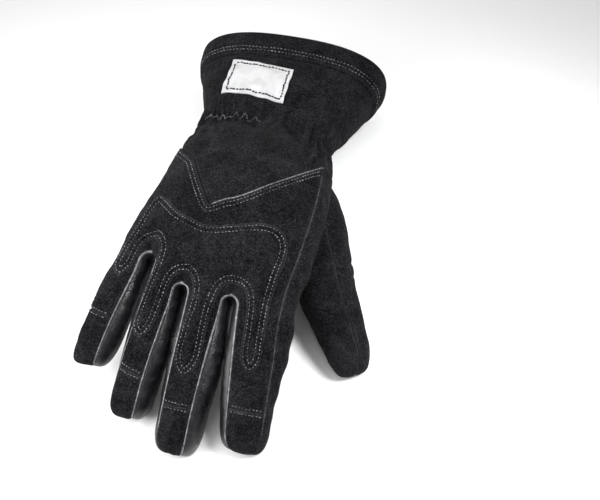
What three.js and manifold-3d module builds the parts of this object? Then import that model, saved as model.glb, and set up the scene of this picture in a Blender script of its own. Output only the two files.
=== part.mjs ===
// Right-hand work glove of leather, lying palm down with its cuff open.
// Millimetres, +Z up, the cuff towards +Y, the fingers towards -Y, the thumb towards +X.
import * as THREE from "three";
import Module from "manifold-3d";

// Lengths along the hand, from the cuff's rim to the wrist, the crotches and the fingertips.
const CUFF_LENGTH = 82;
const HAND_LENGTH = 130;
const FINGER_LENGTH = 95;
const HEM_LENGTH = 22;
const TIP_LENGTH = 13;

// Widths and heights of the sections.
const RIM_WIDTH = 139.5;
const RIM_HEIGHT = 67;
const WRIST_WIDTH = 94;
const WRIST_HEIGHT = 40;
const PALM_WIDTH = 117;
const PALM_HEIGHT = 55;
const FINGER_WIDTH = 29.6;
const FINGER_HEIGHT = 29.6;
const GUSSET_REACH = 28;
const CROTCH_RADIUS = 5;
const FINGER_CLEARANCE = 1.8;
const VALLEY_DEPTH = 5;

// Thumb.
const THUMB_LENGTH = 132;
const THUMB_WIDTH = 42;
const THUMB_HEIGHT = 36;
const THUMB_ROOT = { at: 1.208, across: 0.321, out: -0.1 };
const THUMB_REST = 0.235;

// Leather, cloth and clearances.
const WALL = 2.4;
const HEM_WALL = 3.6;
const PATCH_WALL = 1.3;
const LABEL_WALL = 0.6;
const LABEL_WIDTH = 45.5;
const LABEL_LENGTH = 31.5;
const LABEL_ACROSS = -0.07;
const LABEL_ALONG = 0.6;
const LABEL_TURN = 6.3;
const SEAM_GAP = 0.4;
const SPECK = 0.03;
const NORMAL_PASSES = 3;
const PRESSED = 5;
const FLATTENING = 2;

// Stations: 0 is the rim, 1 the wrist, 2 the crotch line and 3 the longest fingertip.
const SPINE = [
  { at: 0, tilt: -5 },
  { at: 0.55, tilt: -8.5 },
  { at: 0.98, tilt: -10.5 },
  { at: 1.37, tilt: -5.5 },
  { at: 1.68, tilt: 4.5 },
  { at: 1.95, tilt: 14 },
  { at: 2.3, tilt: 22 },
  { at: 2.61, tilt: 28.5 },
  { at: 2.93, tilt: 31.5 },
];

// Sections of the cuff and hand, as shares of the width and height they follow.
const SECTIONS = [
  { at: 0, wide: RIM_WIDTH, high: RIM_HEIGHT, left: 0.462, right: 0.538, back: 0.5, palm: 0.5 },
  { at: 0.27, wide: RIM_WIDTH, high: RIM_HEIGHT, left: 0.434, right: 0.505, back: 0.46, palm: 0.46 },
  { at: 0.61, wide: RIM_WIDTH, high: RIM_HEIGHT, left: 0.361, right: 0.434, back: 0.43, palm: 0.43 },
  { at: 1, wide: WRIST_WIDTH, high: WRIST_HEIGHT, left: 0.457, right: 0.543, back: 0.5, palm: 0.5 },
  { at: 1.25, wide: PALM_WIDTH, high: PALM_HEIGHT, left: 0.391, right: 0.496, back: 0.5, palm: 0.48 },
  { at: 1.52, wide: PALM_WIDTH, high: PALM_HEIGHT, left: 0.42, right: 0.521, back: 0.51, palm: 0.49 },
  { at: 1.75, wide: PALM_WIDTH, high: PALM_HEIGHT, left: 0.474, right: 0.51, back: 0.436, palm: 0.418 },
  { at: 1.95, wide: PALM_WIDTH, high: PALM_HEIGHT, left: 0.491, right: 0.481, back: 0.345, palm: 0.33 },
];

// Lines between the fingers, little finger's side first: where each starts at the back's and the
// palm's seam, where it ends at a crotch, how far across the palm it lies, and how much fuller than
// the seams need the strip between the two fingers is, as a share of the finger's width.
const LINES = [
  { back: 1.19, palm: 1.19, crotch: 1.78, across: -0.49, full: 0 },
  { back: 1.43, palm: 1.2, crotch: 1.885, across: -0.304, full: 0.055 },
  { back: 1.658, palm: 1.2, crotch: 1.998, across: -0.097, full: 0.08 },
  { back: 1.51, palm: 1.2, crotch: 2.01, across: 0.159, full: 0.135 },
  { back: 1.27, palm: 1.2, crotch: 2, across: 0.46, full: 0 },
];

// Fingers, as shares of the finger's length, width and height, and the tip's place across the palm.
const FINGERS = [
  { name: "little", long: 0.815, tip: -0.495, tipWide: 0.39, high: 0.456, tipHigh: 0.39, lift: 0.05 },
  { name: "ring", long: 0.935, tip: -0.248, tipWide: 0.415, high: 0.48, tipHigh: 0.412, lift: -0.03 },
  { name: "middle", long: 1, tip: 0.036, tipWide: 0.452, high: 0.5, tipHigh: 0.426, lift: 0.06 },
  { name: "index", long: 0.902, tip: 0.362, tipWide: 0.475, high: 0.507, tipHigh: 0.426, lift: -0.04 },
];

// Dents and gathers: place along and around, half length as a share of the cuff, half width in
// degrees, depth as a share of the wrist's height.
const FOLDS = [
  { at: 0.29, around: 90, long: 0.03, wide: 400, deep: 0.049 },
  { at: 0.97, around: 156, long: 0.13, wide: 9, deep: 0.07 },
  { at: 1.0, around: 122, long: 0.15, wide: 8, deep: 0.084 },
  { at: 1.02, around: 97, long: 0.14, wide: 8, deep: 0.077 },
  { at: 1.04, around: 71, long: 0.16, wide: 8, deep: 0.084 },
  { at: 1.06, around: 42, long: 0.15, wide: 9, deep: 0.084 },
  { at: 0.78, around: 20, long: 0.12, wide: 16, deep: 0.098 },
  { at: 1.0, around: 215, long: 0.15, wide: 10, deep: 0.084 },
  { at: 1.02, around: 252, long: 0.16, wide: 10, deep: 0.084 },
  { at: 1.04, around: 290, long: 0.15, wide: 10, deep: 0.084 },
];

// Thumb's rings: steps sideways and forward as shares of its length, how far down from its root to its
// rest, then half sizes.
const THUMB_RINGS = [
  { along: 0, side: 0, ahead: 0, down: 0, wide: 0.32, high: 0.33 },
  { along: 0.14, side: 0.045, ahead: 0.11, down: 0.1, wide: 0.45, high: 0.46 },
  { along: 0.3, side: 0.098, ahead: 0.245, down: 0.236, wide: 0.52, high: 0.52 },
  { along: 0.46, side: 0.16, ahead: 0.38, down: 0.392, wide: 0.51, high: 0.5 },
  { along: 0.62, side: 0.232, ahead: 0.515, down: 0.578, wide: 0.45, high: 0.46 },
  { along: 0.76, side: 0.305, ahead: 0.64, down: 0.75, wide: 0.39, high: 0.41 },
  { along: 0.88, side: 0.375, ahead: 0.75, down: 0.905, wide: 0.335, high: 0.365 },
  { along: 0.95, side: 0.417, ahead: 0.817, down: 0.963, wide: 0.29, high: 0.33 },
  { along: 0.985, side: 0.442, ahead: 0.863, down: 0.99, wide: 0.22, high: 0.25 },
  { along: 1, side: 0.457, ahead: 0.888, down: 1, wide: 0.14, high: 0.1 },
];

// How blunt the sections are, and the angles at which the seams run along them.
const HAND_POWER = 2.5;
const FINGER_POWER = 2.5;
const SEAM_ANGLE = 52;
const GUSSET_BACK = 32;
const GUSSET_PALM = 34;
const FULLER_SIDES = [0.3, 0.7];
const FULL_LENGTH = 0.85;

// How soon a finger takes its own section past the crotch, as shares of the finger's length.
const OUTER_BLEND = 0.34;
const CROTCH_BLEND = 0.15;

// Rows of the skin along each strip: 0 at the yoke, 1 at the crotch, 2 at the fingertip.
const ROWS = [
  0, 0.14, 0.28, 0.42, 0.58, 0.73, 0.87, 0.93, 1, 1.0045, 1.018, 1.042, 1.09, 1.16, 1.28, 1.42, 1.5,
  1.6, 1.7, 1.78, 1.86, 1.93, 1.965, 1.99, 2,
];
const ARCH_ROW = 0.87;
const CAP_ROWS = [1.6, 1.7, 1.7, 1.7];
const SEAM_TURN = 1.78;
const WALL_END = 1.965;
const GUARD_START = 0.42;
const TONGUE_ENDS = [1.16, 1.42, 1.5, 1.5];
const PATCH_ROWS = [0.58, 0.93];
const CUFF_ROWS = 8;
const HEM_ROWS = 3;
const WALL_COLUMNS = 3;
const THUMB_COLUMNS = 24;
const THUMB_SEAMS = [5, 18];

const lerp = (a, b, t) => a + (b - a) * t;
const clamp = (t, low, high) => Math.min(Math.max(t, low), high);
const radians = (deg) => (deg * Math.PI) / 180;

// Eased step from 0 to 1.
function ease(t) {
  const s = clamp(t, 0, 1);
  return s * s * (3 - 2 * s);
}

// Smooth curve through a table's rows.
function curve(places, values) {
  const last = places.length - 1;
  const rise = (i) => (values[i + 1] - values[i]) / (places[i + 1] - places[i]);
  const slopes = values.map((_, i) =>
    i === 0 ? rise(0) : i === last ? rise(last - 1) : (rise(i - 1) + rise(i)) / 2,
  );
  return (place) => {
    const x = clamp(place, places[0], places[last]);
    let i = 0;
    while (i < last - 1 && x >= places[i + 1]) i += 1;
    const span = places[i + 1] - places[i];
    const t = (x - places[i]) / span;
    const t2 = t * t;
    const t3 = t2 * t;
    const near = (2 * t3 - 3 * t2 + 1) * values[i] + (t3 - 2 * t2 + t) * span * slopes[i];
    const far = (3 * t2 - 2 * t3) * values[i + 1] + (t3 - t2) * span * slopes[i + 1];
    return near + far;
  };
}

// Distance along the hand of a station.
function along(station) {
  const cuff = CUFF_LENGTH * Math.min(station, 1);
  const hand = HAND_LENGTH * clamp(station - 1, 0, 1);
  return cuff + hand + FINGER_LENGTH * Math.max(station - 2, 0);
}

// The hand's middle line, bent by the spine's tilts, and the section planes square to it.
const STEP = 0.5;
const REACH = along(3) + 40;
const tiltAt = curve(
  SPINE.map((row) => along(row.at)),
  SPINE.map((row) => radians(row.tilt)),
);
const spineY = [0];
const spineZ = [RIM_HEIGHT / 2 - PRESSED];
for (let q = 0; q < REACH; q += STEP) {
  const tilt = tiltAt(q + STEP / 2);
  spineY.push(spineY.at(-1) - Math.cos(tilt) * STEP);
  spineZ.push(spineZ.at(-1) - Math.sin(tilt) * STEP);
}

function read(list, q) {
  const place = clamp(q / STEP, 0, list.length - 1.001);
  const i = Math.floor(place);
  return lerp(list[i], list[i + 1], place - i);
}

// Presses what would lie below the floor flat on to it.
function settle(z) {
  if (z >= FLATTENING) return z;
  if (z <= -FLATTENING) return 0;
  return (z + FLATTENING) ** 2 / (4 * FLATTENING);
}

// A point across, along and out of the hand, in the part's frame.
function place({ p, q, n }) {
  const tilt = tiltAt(q);
  return [p, read(spineY, q) - n * Math.sin(tilt), settle(read(spineZ, q) + n * Math.cos(tilt))];
}

const sectionAt = {};
for (const side of ["left", "right", "back", "palm"]) {
  const size = side === "left" || side === "right" ? "wide" : "high";
  sectionAt[side] = curve(
    SECTIONS.map((row) => along(row.at)),
    SECTIONS.map((row) => row[side] * row[size]),
  );
}

// Unit blunt oval at an angle.
function oval(angle, power) {
  const c = Math.cos(radians(angle));
  const s = Math.sin(radians(angle));
  return [Math.sign(c) * Math.abs(c) ** (2 / power), Math.sign(s) * Math.abs(s) ** (2 / power)];
}

// Depth of the dents and gathers at a place on the cuff or hand.
function dent(angle, q) {
  return FOLDS.reduce((sum, fold) => {
    const turn = ((angle - fold.around + 540) % 360) - 180;
    const off = (q - along(fold.at)) / (fold.long * CUFF_LENGTH);
    return sum + fold.deep * WRIST_HEIGHT * Math.exp(-(off ** 2) - (turn / fold.wide) ** 2);
  }, 0);
}

// The hand's section at an angle: 0 at the thumb's side, 90 on the back, 180 at the little finger's side.
function section(angle, q) {
  const [x, z] = oval(angle, HAND_POWER);
  const left = sectionAt.left(q);
  const right = sectionAt.right(q);
  const deep = dent((angle + 360) % 360, q);
  const half = (left + right) / 2 - deep;
  const high = (z > 0 ? sectionAt.back(q) : sectionAt.palm(q)) - deep;
  return { p: (right - left) / 2 + half * x, n: high * z };
}

// Angles of the lines between the fingers, on the back and on the palm.
const knuckles = along(SECTIONS.at(-1).at);
const backAngles = LINES.map((line, k) => {
  if (k === 0) return 180;
  if (k === LINES.length - 1) return GUSSET_BACK;
  const half = (sectionAt.left(knuckles) + sectionAt.right(knuckles)) / 2;
  const middle = (sectionAt.right(knuckles) - sectionAt.left(knuckles)) / 2;
  const x = (line.across * PALM_WIDTH - middle) / half;
  return THREE.MathUtils.radToDeg(Math.acos(Math.sign(x) * Math.abs(x) ** (HAND_POWER / 2)));
});
const palmAngles = backAngles.map((angle, k) =>
  k === LINES.length - 1 ? 360 - GUSSET_PALM : 360 - angle,
);
const crotchQ = LINES.map((line) => along(line.crotch));
const rootP = LINES.map((line, k) => {
  const angle = backAngles[k];
  return k === 0 || k === LINES.length - 1 ? section(angle, knuckles).p : line.across * PALM_WIDTH;
});
const tipQ = FINGERS.map(
  (finger, i) => (crotchQ[i] + crotchQ[i + 1]) / 2 + finger.long * FINGER_LENGTH,
);

// Where a row crosses a line, along the hand.
function rowQ(k, i, r, palm) {
  const start = along(palm ? LINES[k].palm : LINES[k].back);
  return r <= 1 ? lerp(start, crotchQ[k], r) : lerp(crotchQ[k], tipQ[i], r - 1);
}

// The seam's angle on a finger, which runs out to nothing at the tip.
function seamAngle(r, outer) {
  const full = outer ? 0 : SEAM_ANGLE;
  return full * (1 - ease((r - SEAM_TURN) / (WALL_END - SEAM_TURN)));
}

const isCrotch = (k) => k > 0 && k < LINES.length - 1;
const seamShare = oval(SEAM_ANGLE, FINGER_POWER)[0];

// A finger's middle, half widths on both sides and half height, measured from a root. At the root its
// seams stand a crotch's radius away from the lines between the fingers.
function fingerAt(i, q, root) {
  const finger = FINGERS[i];
  const s = clamp((q - root) / (tipQ[i] - root), 0, 1);
  const end = clamp((q - tipQ[i] + TIP_LENGTH) / TIP_LENGTH, 0, 1);
  const lower = (1 - end ** 2.6) ** (1 / 2.6);
  const narrow = 0.6 + 0.4 * (1 - end ** 3) ** (1 / 3);
  const low = rootP[i] + (isCrotch(i) ? CROTCH_RADIUS : 0);
  const high = rootP[i + 1] - (isCrotch(i + 1) ? CROTCH_RADIUS : 0);
  const tip = finger.tipWide * FINGER_WIDTH;
  const half = (high - low) / 2;
  const bulge = (CROTCH_RADIUS - FINGER_CLEARANCE / 2) / (1 - seamShare);
  return {
    middle: lerp((low + high) / 2, finger.tip * PALM_WIDTH, s),
    left: lerp(i === 0 ? half : half / seamShare, tip, s) * narrow,
    right: lerp(half / seamShare, tip, i === FINGERS.length - 1 ? ease(s / 0.85) : s) * narrow,
    bulge: lerp(bulge, tip, s) * narrow,
    gusset: lerp(GUSSET_REACH, tip, ease(s)) * narrow * (1 - seamShare),
    high: lerp(finger.high, finger.tipHigh, s) * FINGER_HEIGHT * lower,
    lift: finger.lift * FINGER_HEIGHT * s * s,
  };
}

const blendAt = (r) => ease((r - 0.35) / 0.65);

// The seam along one side of a strip, on the back or on the palm.
function seam(i, side, r, palm) {
  const k = i + side;
  const sign = palm ? -1 : 1;
  const q = rowQ(k, i, r, palm);
  const angle = (palm ? palmAngles : backAngles)[k];
  const valley = isCrotch(k) ? VALLEY_DEPTH : 0;
  if (r <= 1) {
    const on = section(angle, q);
    return { p: on.p, q, n: on.n - sign * valley * blendAt(r) };
  }
  const root = section(angle, crotchQ[k]);
  const [f, g] = oval(seamAngle(r, k === 0), FINGER_POWER);
  const finger = fingerAt(i, q, crotchQ[k]);
  const far = q - crotchQ[k];
  const round = Math.sqrt(1 - (1 - clamp(far / CROTCH_RADIUS, 0, 1)) ** 2);
  const outerShare = ease(far / (OUTER_BLEND * FINGER_LENGTH));
  const across = isCrotch(k) ? round : outerShare;
  const up = isCrotch(k) ? ease(far / (CROTCH_BLEND * FINGER_LENGTH)) : outerShare;
  const wide = side === 0 ? -finger.left : finger.right;
  return {
    p: lerp(root.p, finger.middle + wide * f, across),
    q,
    n: lerp(root.n - sign * valley, sign * finger.high * g + finger.lift, up),
  };
}

// A point on a strip of the back or palm; u runs from -1 at its left seam to 1 at its right one.
function strip(i, u, r, palm) {
  const t = (u + 1) / 2;
  const sign = palm ? -1 : 1;
  const angles = palm ? palmAngles : backAngles;
  const low = seam(i, 0, r, palm);
  const high = seam(i, 1, r, palm);
  const q = lerp(low.q, high.q, t);
  const onHand = section(lerp(angles[i], angles[i + 1], t), q);
  const lowAngle = seamAngle(r, i === 0);
  const highAngle = seamAngle(r, false);
  const [x, z] = oval(lerp(180 - lowAngle, highAngle, t), FINGER_POWER);
  const [lowX, lowZ] = oval(lowAngle, FINGER_POWER);
  const [highX, highZ] = oval(highAngle, FINGER_POWER);
  const share = (x + lowX) / (lowX + highX);
  const base = lerp(low.n, high.n, share);
  const start = lerp(lowZ, highZ, share);
  const root = lerp(crotchQ[i], crotchQ[i + 1], t);
  const finger = fingerAt(i, q, (crotchQ[i] + crotchQ[i + 1]) / 2);
  const handTop = section(lerp(angles[i], angles[i + 1], 0.5), Math.min(q, root)).n;
  const past = ease((q - root) / (OUTER_BLEND * FINGER_LENGTH));
  const top = lerp(handTop, sign * finger.high + finger.lift, past);
  const blend = blendAt(r);
  return {
    p: lerp(onHand.p, lerp(low.p, high.p, share), blend),
    q,
    n: lerp(onHand.n, base + ((top - base) * (z - start)) / (1 - start), blend),
  };
}

// A point on a side wall; v runs from 0 at the back's seam to 1 at the palm's.
function sideWall(i, side, v, r) {
  const k = i + side;
  const back = seam(i, side, r, false);
  const palm = seam(i, side, r, true);
  const gusset = k === LINES.length - 1;
  const bare = seamAngle(r, false);
  const top = gusset ? lerp(GUSSET_BACK, bare, blendAt(r)) : bare;
  const bottom = gusset ? lerp(GUSSET_PALM, bare, blendAt(r)) : bare;
  const [x, z] = oval(lerp(top, -bottom, v), FINGER_POWER);
  const [topX, topZ] = oval(top, FINGER_POWER);
  const [bottomX, bottomZ] = oval(bottom, FINGER_POWER);
  const flat = Math.max(topZ, bottomZ) < 1e-3;
  const share = flat ? v : 0.5 * (1 - z / (v <= 0.5 ? topZ : bottomZ));
  const finger = fingerAt(i, back.q, crotchQ[k]);
  const handHalf = (sectionAt.left(back.q) + sectionAt.right(back.q)) / 2;
  const start = lerp(topX, bottomX, v);
  const onHand = handHalf * (1 - oval(GUSSET_BACK, FINGER_POWER)[0]);
  const onFinger = (finger.gusset * (1 - start)) / (1 - seamShare);
  const past = ease((back.q - knuckles) / (OUTER_BLEND * FINGER_LENGTH));
  const reach = lerp(onHand, onFinger, past) / Math.max(1 - start, 1e-3);
  const hump = Math.sin(Math.PI * clamp((back.q - crotchQ[k]) / (FULL_LENGTH * FINGER_LENGTH), 0, 1)) ** 2;
  const fuller = (LINES[k].full * FULLER_SIDES[side] * FINGER_WIDTH * hump) / (1 - seamShare);
  const out = (gusset ? reach : finger.bulge + fuller) * clamp(x - start, 0, 1);
  const far = clamp((back.q - crotchQ[k]) / CROTCH_RADIUS, 0, 1);
  const turn = gusset ? Math.PI / 2 : Math.acos(1 - far);
  const swell = gusset ? out : lerp(CROTCH_RADIUS * 0.3 * (1 - (2 * v - 1) ** 2), out, Math.sin(turn));
  return {
    p: lerp(back.p, palm.p, share) + (side === 0 ? -1 : 1) * swell * Math.sin(turn),
    q: lerp(back.q, palm.q, share) + swell * Math.cos(turn),
    n: lerp(back.n, palm.n, share),
  };
}

// A skin is one set of shared points with triangles that carry the piece they belong to.
function newSkin() {
  return { points: [], byPlace: new Map(), faces: [] };
}

function addPoint(skin, at) {
  const key = at.map((value) => Math.round(value * 1000)).join();
  if (!skin.byPlace.has(key)) {
    skin.byPlace.set(key, skin.points.length);
    skin.points.push(new THREE.Vector3(...at));
  }
  return skin.byPlace.get(key);
}

function addFace(skin, a, b, c, tag) {
  if (a === b || b === c || a === c) return;
  skin.faces.push({ corners: [a, b, c], ...tag });
}

// A patch of rows and columns, split along the shorter diagonal of each cell.
function addPatch(skin, rows, tagOf, flip) {
  const index = rows.map((row) => row.map((at) => addPoint(skin, at)));
  for (let i = 0; i + 1 < index.length; i += 1) {
    for (let j = 0; j + 1 < index[i].length; j += 1) {
      const tag = tagOf(i, j);
      const [a, b] = [index[i][j], index[i][j + 1]];
      const [d, c] = [index[i + 1][j], index[i + 1][j + 1]];
      const quad = flip ? [a, b, c, d] : [a, d, c, b];
      const [w, x, y, z] = quad;
      const points = skin.points;
      if (points[w].distanceTo(points[y]) <= points[x].distanceTo(points[z])) {
        addFace(skin, w, x, y, tag);
        addFace(skin, w, y, z, tag);
      } else {
        addFace(skin, w, x, z, tag);
        addFace(skin, x, y, z, tag);
      }
    }
  }
}

function faceNormal(skin, face) {
  const [a, b, c] = face.corners.map((corner) => skin.points[corner]);
  return b.clone().sub(a).cross(c.clone().sub(a));
}

// Outward direction at each point of the skin, evened out with its neighbours' ones.
function setNormals(skin) {
  skin.normals = skin.points.map(() => new THREE.Vector3());
  for (const face of skin.faces) {
    const normal = faceNormal(skin, face);
    face.corners.forEach((corner) => skin.normals[corner].add(normal));
  }
  skin.normals.forEach((normal) => normal.normalize());
  for (let pass = 0; pass < NORMAL_PASSES; pass += 1) {
    const sums = skin.normals.map((normal) => normal.clone());
    for (const { corners } of skin.faces) {
      corners.forEach((corner, j) => sums[corner].add(skin.normals[corners[(j + 1) % 3]]));
    }
    skin.normals = sums.map((sum) => sum.normalize());
  }
}

// Turns some of the skin's faces into a closed body between two distances from the skin, with its
// edges drawn in by half a seam's gap.
function thicken(skin, faces, inner, outer) {
  const edges = new Map();
  for (const face of faces) {
    const [a, b, c] = face.corners;
    for (const [from, to] of [[a, b], [b, c], [c, a]]) {
      if (!edges.delete(to + "_" + from)) edges.set(from + "_" + to, { from, to, face });
    }
  }
  const inset = new Map();
  for (const { from, to, face } of edges.values()) {
    const normal = faceNormal(skin, face);
    const inward = normal.cross(skin.points[to].clone().sub(skin.points[from])).normalize();
    for (const end of [from, to]) {
      inset.set(end, [...(inset.get(end) ?? []), inward]);
    }
  }
  const positions = [];
  const indices = [];
  const numbers = new Map();
  const number = (corner, level) => {
    const key = corner + "_" + level;
    if (!numbers.has(key)) {
      const at = skin.points[corner].clone();
      const ways = inset.get(corner);
      if (ways) {
        const sum = new THREE.Vector3();
        ways.forEach((way) => sum.add(way));
        sum.normalize();
        const lean = Math.max(sum.dot(ways[0]), 0.6);
        at.addScaledVector(sum, SEAM_GAP / 2 / lean);
      }
      at.addScaledVector(skin.normals[corner], level === 0 ? inner : outer);
      numbers.set(key, positions.length / 3);
      positions.push(at.x, at.y, at.z);
    }
    return numbers.get(key);
  };
  for (const { corners: [a, b, c] } of faces) {
    indices.push(number(a, 1), number(b, 1), number(c, 1));
    indices.push(number(a, 0), number(c, 0), number(b, 0));
  }
  for (const { from, to } of edges.values()) {
    indices.push(number(from, 1), number(from, 0), number(to, 1));
    indices.push(number(from, 0), number(to, 0), number(to, 1));
  }
  return { positions, indices };
}

// How far out the guard's edge column lies along a strip: wide at the knuckles, narrow on a finger.
function edgeColumn(r) {
  return lerp(0.86, 0.6, ease((r - ARCH_ROW) / 0.06));
}
const columnsAt = (r) => [-1, -edgeColumn(r), -0.3, 0.3, edgeColumn(r), 1];

// The hand's skin: strips of the back and palm, side walls, cuff and hem.
const skin = newSkin();
const wallRows = ROWS.filter((r) => r <= WALL_END);
FINGERS.forEach((finger, i) => {
  for (const palm of [false, true]) {
    const rows = ROWS.map((r) => columnsAt(r).map((u) => place(strip(i, u, r, palm))));
    const side = palm ? "palm" : "back";
    addPatch(skin, rows, (row, column) => ({ side, i, row: ROWS[row], column }), palm);
  }
});
const across = (list) => Array.from({ length: WALL_COLUMNS + 1 }, (_, j) => list(j / WALL_COLUMNS));
LINES.forEach((line, k) => {
  if (k === 0) return;
  const rows = wallRows.filter((r) => k === LINES.length - 1 || r >= 1);
  const left = rows.map((r) => across((v) => place(sideWall(k - 1, 1, v, r))));
  addPatch(skin, left, () => ({ side: "wall" + k }), false);
  if (!isCrotch(k)) return;
  const right = rows.map((r) => across((v) => place(sideWall(k, 0, v, r))));
  addPatch(skin, right, () => ({ side: "wall" + k }), true);
});

// Columns round the cuff meet those of the strips and the gusset.
const ring = [];
FINGERS.forEach((_, i) => {
  columnsAt(0).slice(0, -1).forEach((u) => {
    const angle = lerp(backAngles[i], backAngles[i + 1], (u + 1) / 2);
    ring.push({ angle, end: strip(i, u, 0, false) });
  });
});
for (let j = 0; j < WALL_COLUMNS; j += 1) {
  const v = j / WALL_COLUMNS;
  ring.push({ angle: lerp(GUSSET_BACK, -GUSSET_PALM, v), end: sideWall(FINGERS.length - 1, 1, v, 0) });
}
[...FINGERS.keys()].reverse().forEach((i) => {
  columnsAt(0).slice(1).reverse().forEach((u) => {
    const angle = lerp(palmAngles[i], palmAngles[i + 1], (u + 1) / 2);
    ring.push({ angle, end: strip(i, u, 0, true) });
  });
});
ring.push(ring[0]);
const cuffRow = (share, from) =>
  ring.map(({ angle, end }) => {
    if (share === 1) return place(end);
    const q = lerp(from, end.q, share);
    return place({ ...section(angle, q), q });
  });
const cuffRows = Array.from({ length: CUFF_ROWS + 1 }, (_, j) => cuffRow(j / CUFF_ROWS, HEM_LENGTH));
addPatch(skin, cuffRows, () => ({ side: "cuff" }), false);
const hemRows = Array.from({ length: HEM_ROWS + 1 }, (_, j) => {
  const q = (HEM_LENGTH * j) / HEM_ROWS;
  return ring.map(({ angle }) => place({ ...section(angle, q), q }));
});
addPatch(skin, hemRows, () => ({ side: "hem" }), false);
setNormals(skin);

// The thumb's skin: rings square to its path, closed at the tip.
const thumb = newSkin();
const [rootX, rootY, rootZ] = place({
  p: THUMB_ROOT.across * PALM_WIDTH,
  q: along(THUMB_ROOT.at),
  n: THUMB_ROOT.out * PALM_HEIGHT,
});
const ringPlaces = THUMB_RINGS.map((row) => row.along);
const thumbWays = {
  x: curve(ringPlaces, THUMB_RINGS.map((row) => rootX + row.side * THUMB_LENGTH)),
  y: curve(ringPlaces, THUMB_RINGS.map((row) => rootY - row.ahead * THUMB_LENGTH)),
  z: curve(ringPlaces, THUMB_RINGS.map((row) => lerp(rootZ, THUMB_REST * THUMB_HEIGHT, row.down))),
};
const thumbAt = (share) => new THREE.Vector3(thumbWays.x(share), thumbWays.y(share), thumbWays.z(share));
const thumbRows = THUMB_RINGS.map((row) => {
  const next = thumbAt(row.along + 0.02).sub(thumbAt(row.along - 0.02)).normalize();
  const side = new THREE.Vector3().crossVectors(new THREE.Vector3(0, 0, 1), next).normalize();
  const up = new THREE.Vector3().crossVectors(next, side).normalize();
  return Array.from({ length: THUMB_COLUMNS + 1 }, (_, j) => {
    const [x, z] = oval((360 * (j % THUMB_COLUMNS)) / THUMB_COLUMNS, FINGER_POWER);
    const at = thumbAt(row.along);
    at.addScaledVector(side, x * row.wide * THUMB_WIDTH);
    at.addScaledVector(up, z * row.high * THUMB_HEIGHT);
    return [at.x, at.y, settle(at.z)];
  });
});
const lastRing = THUMB_RINGS.at(-1);
const thumbTip = thumbAt(1);
thumbTip.y -= lastRing.high * THUMB_HEIGHT * 0.4;
thumbRows.push(thumbRows[0].map(() => thumbTip.toArray()));
const inHalf = (column) => column >= THUMB_SEAMS[0] && column < THUMB_SEAMS[1];
addPatch(thumb, thumbRows, (row, column) => ({ side: inHalf(column) ? "inner" : "outer" }), true);
setNormals(thumb);

// The label's skin follows the cuff.
const label = newSkin();

function angleAt(p, q) {
  const middle = (sectionAt.right(q) - sectionAt.left(q)) / 2;
  let angle = 90;
  for (let turn = 0; turn < 6; turn += 1) {
    const half = (sectionAt.left(q) + sectionAt.right(q)) / 2 - dent(angle, q);
    const x = clamp((p - middle) / half, -1, 1);
    angle = THREE.MathUtils.radToDeg(Math.acos(Math.sign(x) * Math.abs(x) ** (HAND_POWER / 2)));
  }
  return angle;
}
const labelRows = Array.from({ length: 6 }, (_, i) =>
  Array.from({ length: 8 }, (_, j) => {
    const x = (j / 7 - 0.5) * LABEL_WIDTH;
    const y = (i / 5 - 0.5) * LABEL_LENGTH;
    const turn = radians(LABEL_TURN);
    const p = LABEL_ACROSS * RIM_WIDTH + x * Math.cos(turn) - y * Math.sin(turn);
    const q = LABEL_ALONG * CUFF_LENGTH + x * Math.sin(turn) + y * Math.cos(turn);
    return place({ ...section(angleAt(p, q), q), q });
  }),
);
addPatch(label, labelRows, () => ({ side: "label" }), false);
setNormals(label);

// Solids that cut one piece from another.
const wasm = await Module();
wasm.setup();

function solid({ positions, indices }) {
  return new wasm.Manifold(
    new wasm.Mesh({
      numProp: 3,
      vertProperties: new Float32Array(positions),
      triVerts: new Uint32Array(indices),
    }),
  );
}

// A skin moved out by a distance, with its open end closed by a fan.
function filled(source, distance) {
  const positions = [];
  source.points.forEach((point, i) => {
    const at = point.clone().addScaledVector(source.normals[i], distance);
    positions.push(at.x, at.y, at.z);
  });
  const indices = source.faces.flatMap((face) => face.corners);
  const open = new Map();
  for (const { corners: [a, b, c] } of source.faces) {
    for (const [from, to] of [[a, b], [b, c], [c, a]]) {
      if (!open.delete(to + "_" + from)) open.set(from + "_" + to, [from, to]);
    }
  }
  const rim = [...open.values()];
  const middle = new THREE.Vector3();
  rim.forEach(([from]) => middle.add(new THREE.Vector3().fromArray(positions, from * 3)));
  middle.divideScalar(rim.length);
  positions.push(middle.x, middle.y, middle.z);
  rim.forEach(([from, to]) => indices.push(to, from, positions.length / 3 - 1));
  return solid({ positions, indices });
}

const handBlock = filled(skin, SEAM_GAP);
const thumbHollow = filled(thumb, -WALL);
const back = skin.faces.filter((face) => face.side === "back");
const onSide = (side) => skin.faces.filter((face) => face.side === side);
const panel = (faces, wall = WALL) => solid(thicken(skin, faces, -wall, 0));
const cover = (faces) => solid(thicken(skin, faces, SEAM_GAP, SEAM_GAP + PATCH_WALL));

// The largest body of a cut, without the crumbs and specks of faces that facets leave.
function whole(cut) {
  const largest = (body) => body.decompose().sort((a, b) => b.volume() - a.volume())[0];
  return largest(largest(cut).asOriginal().simplify(SPECK));
}

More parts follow.
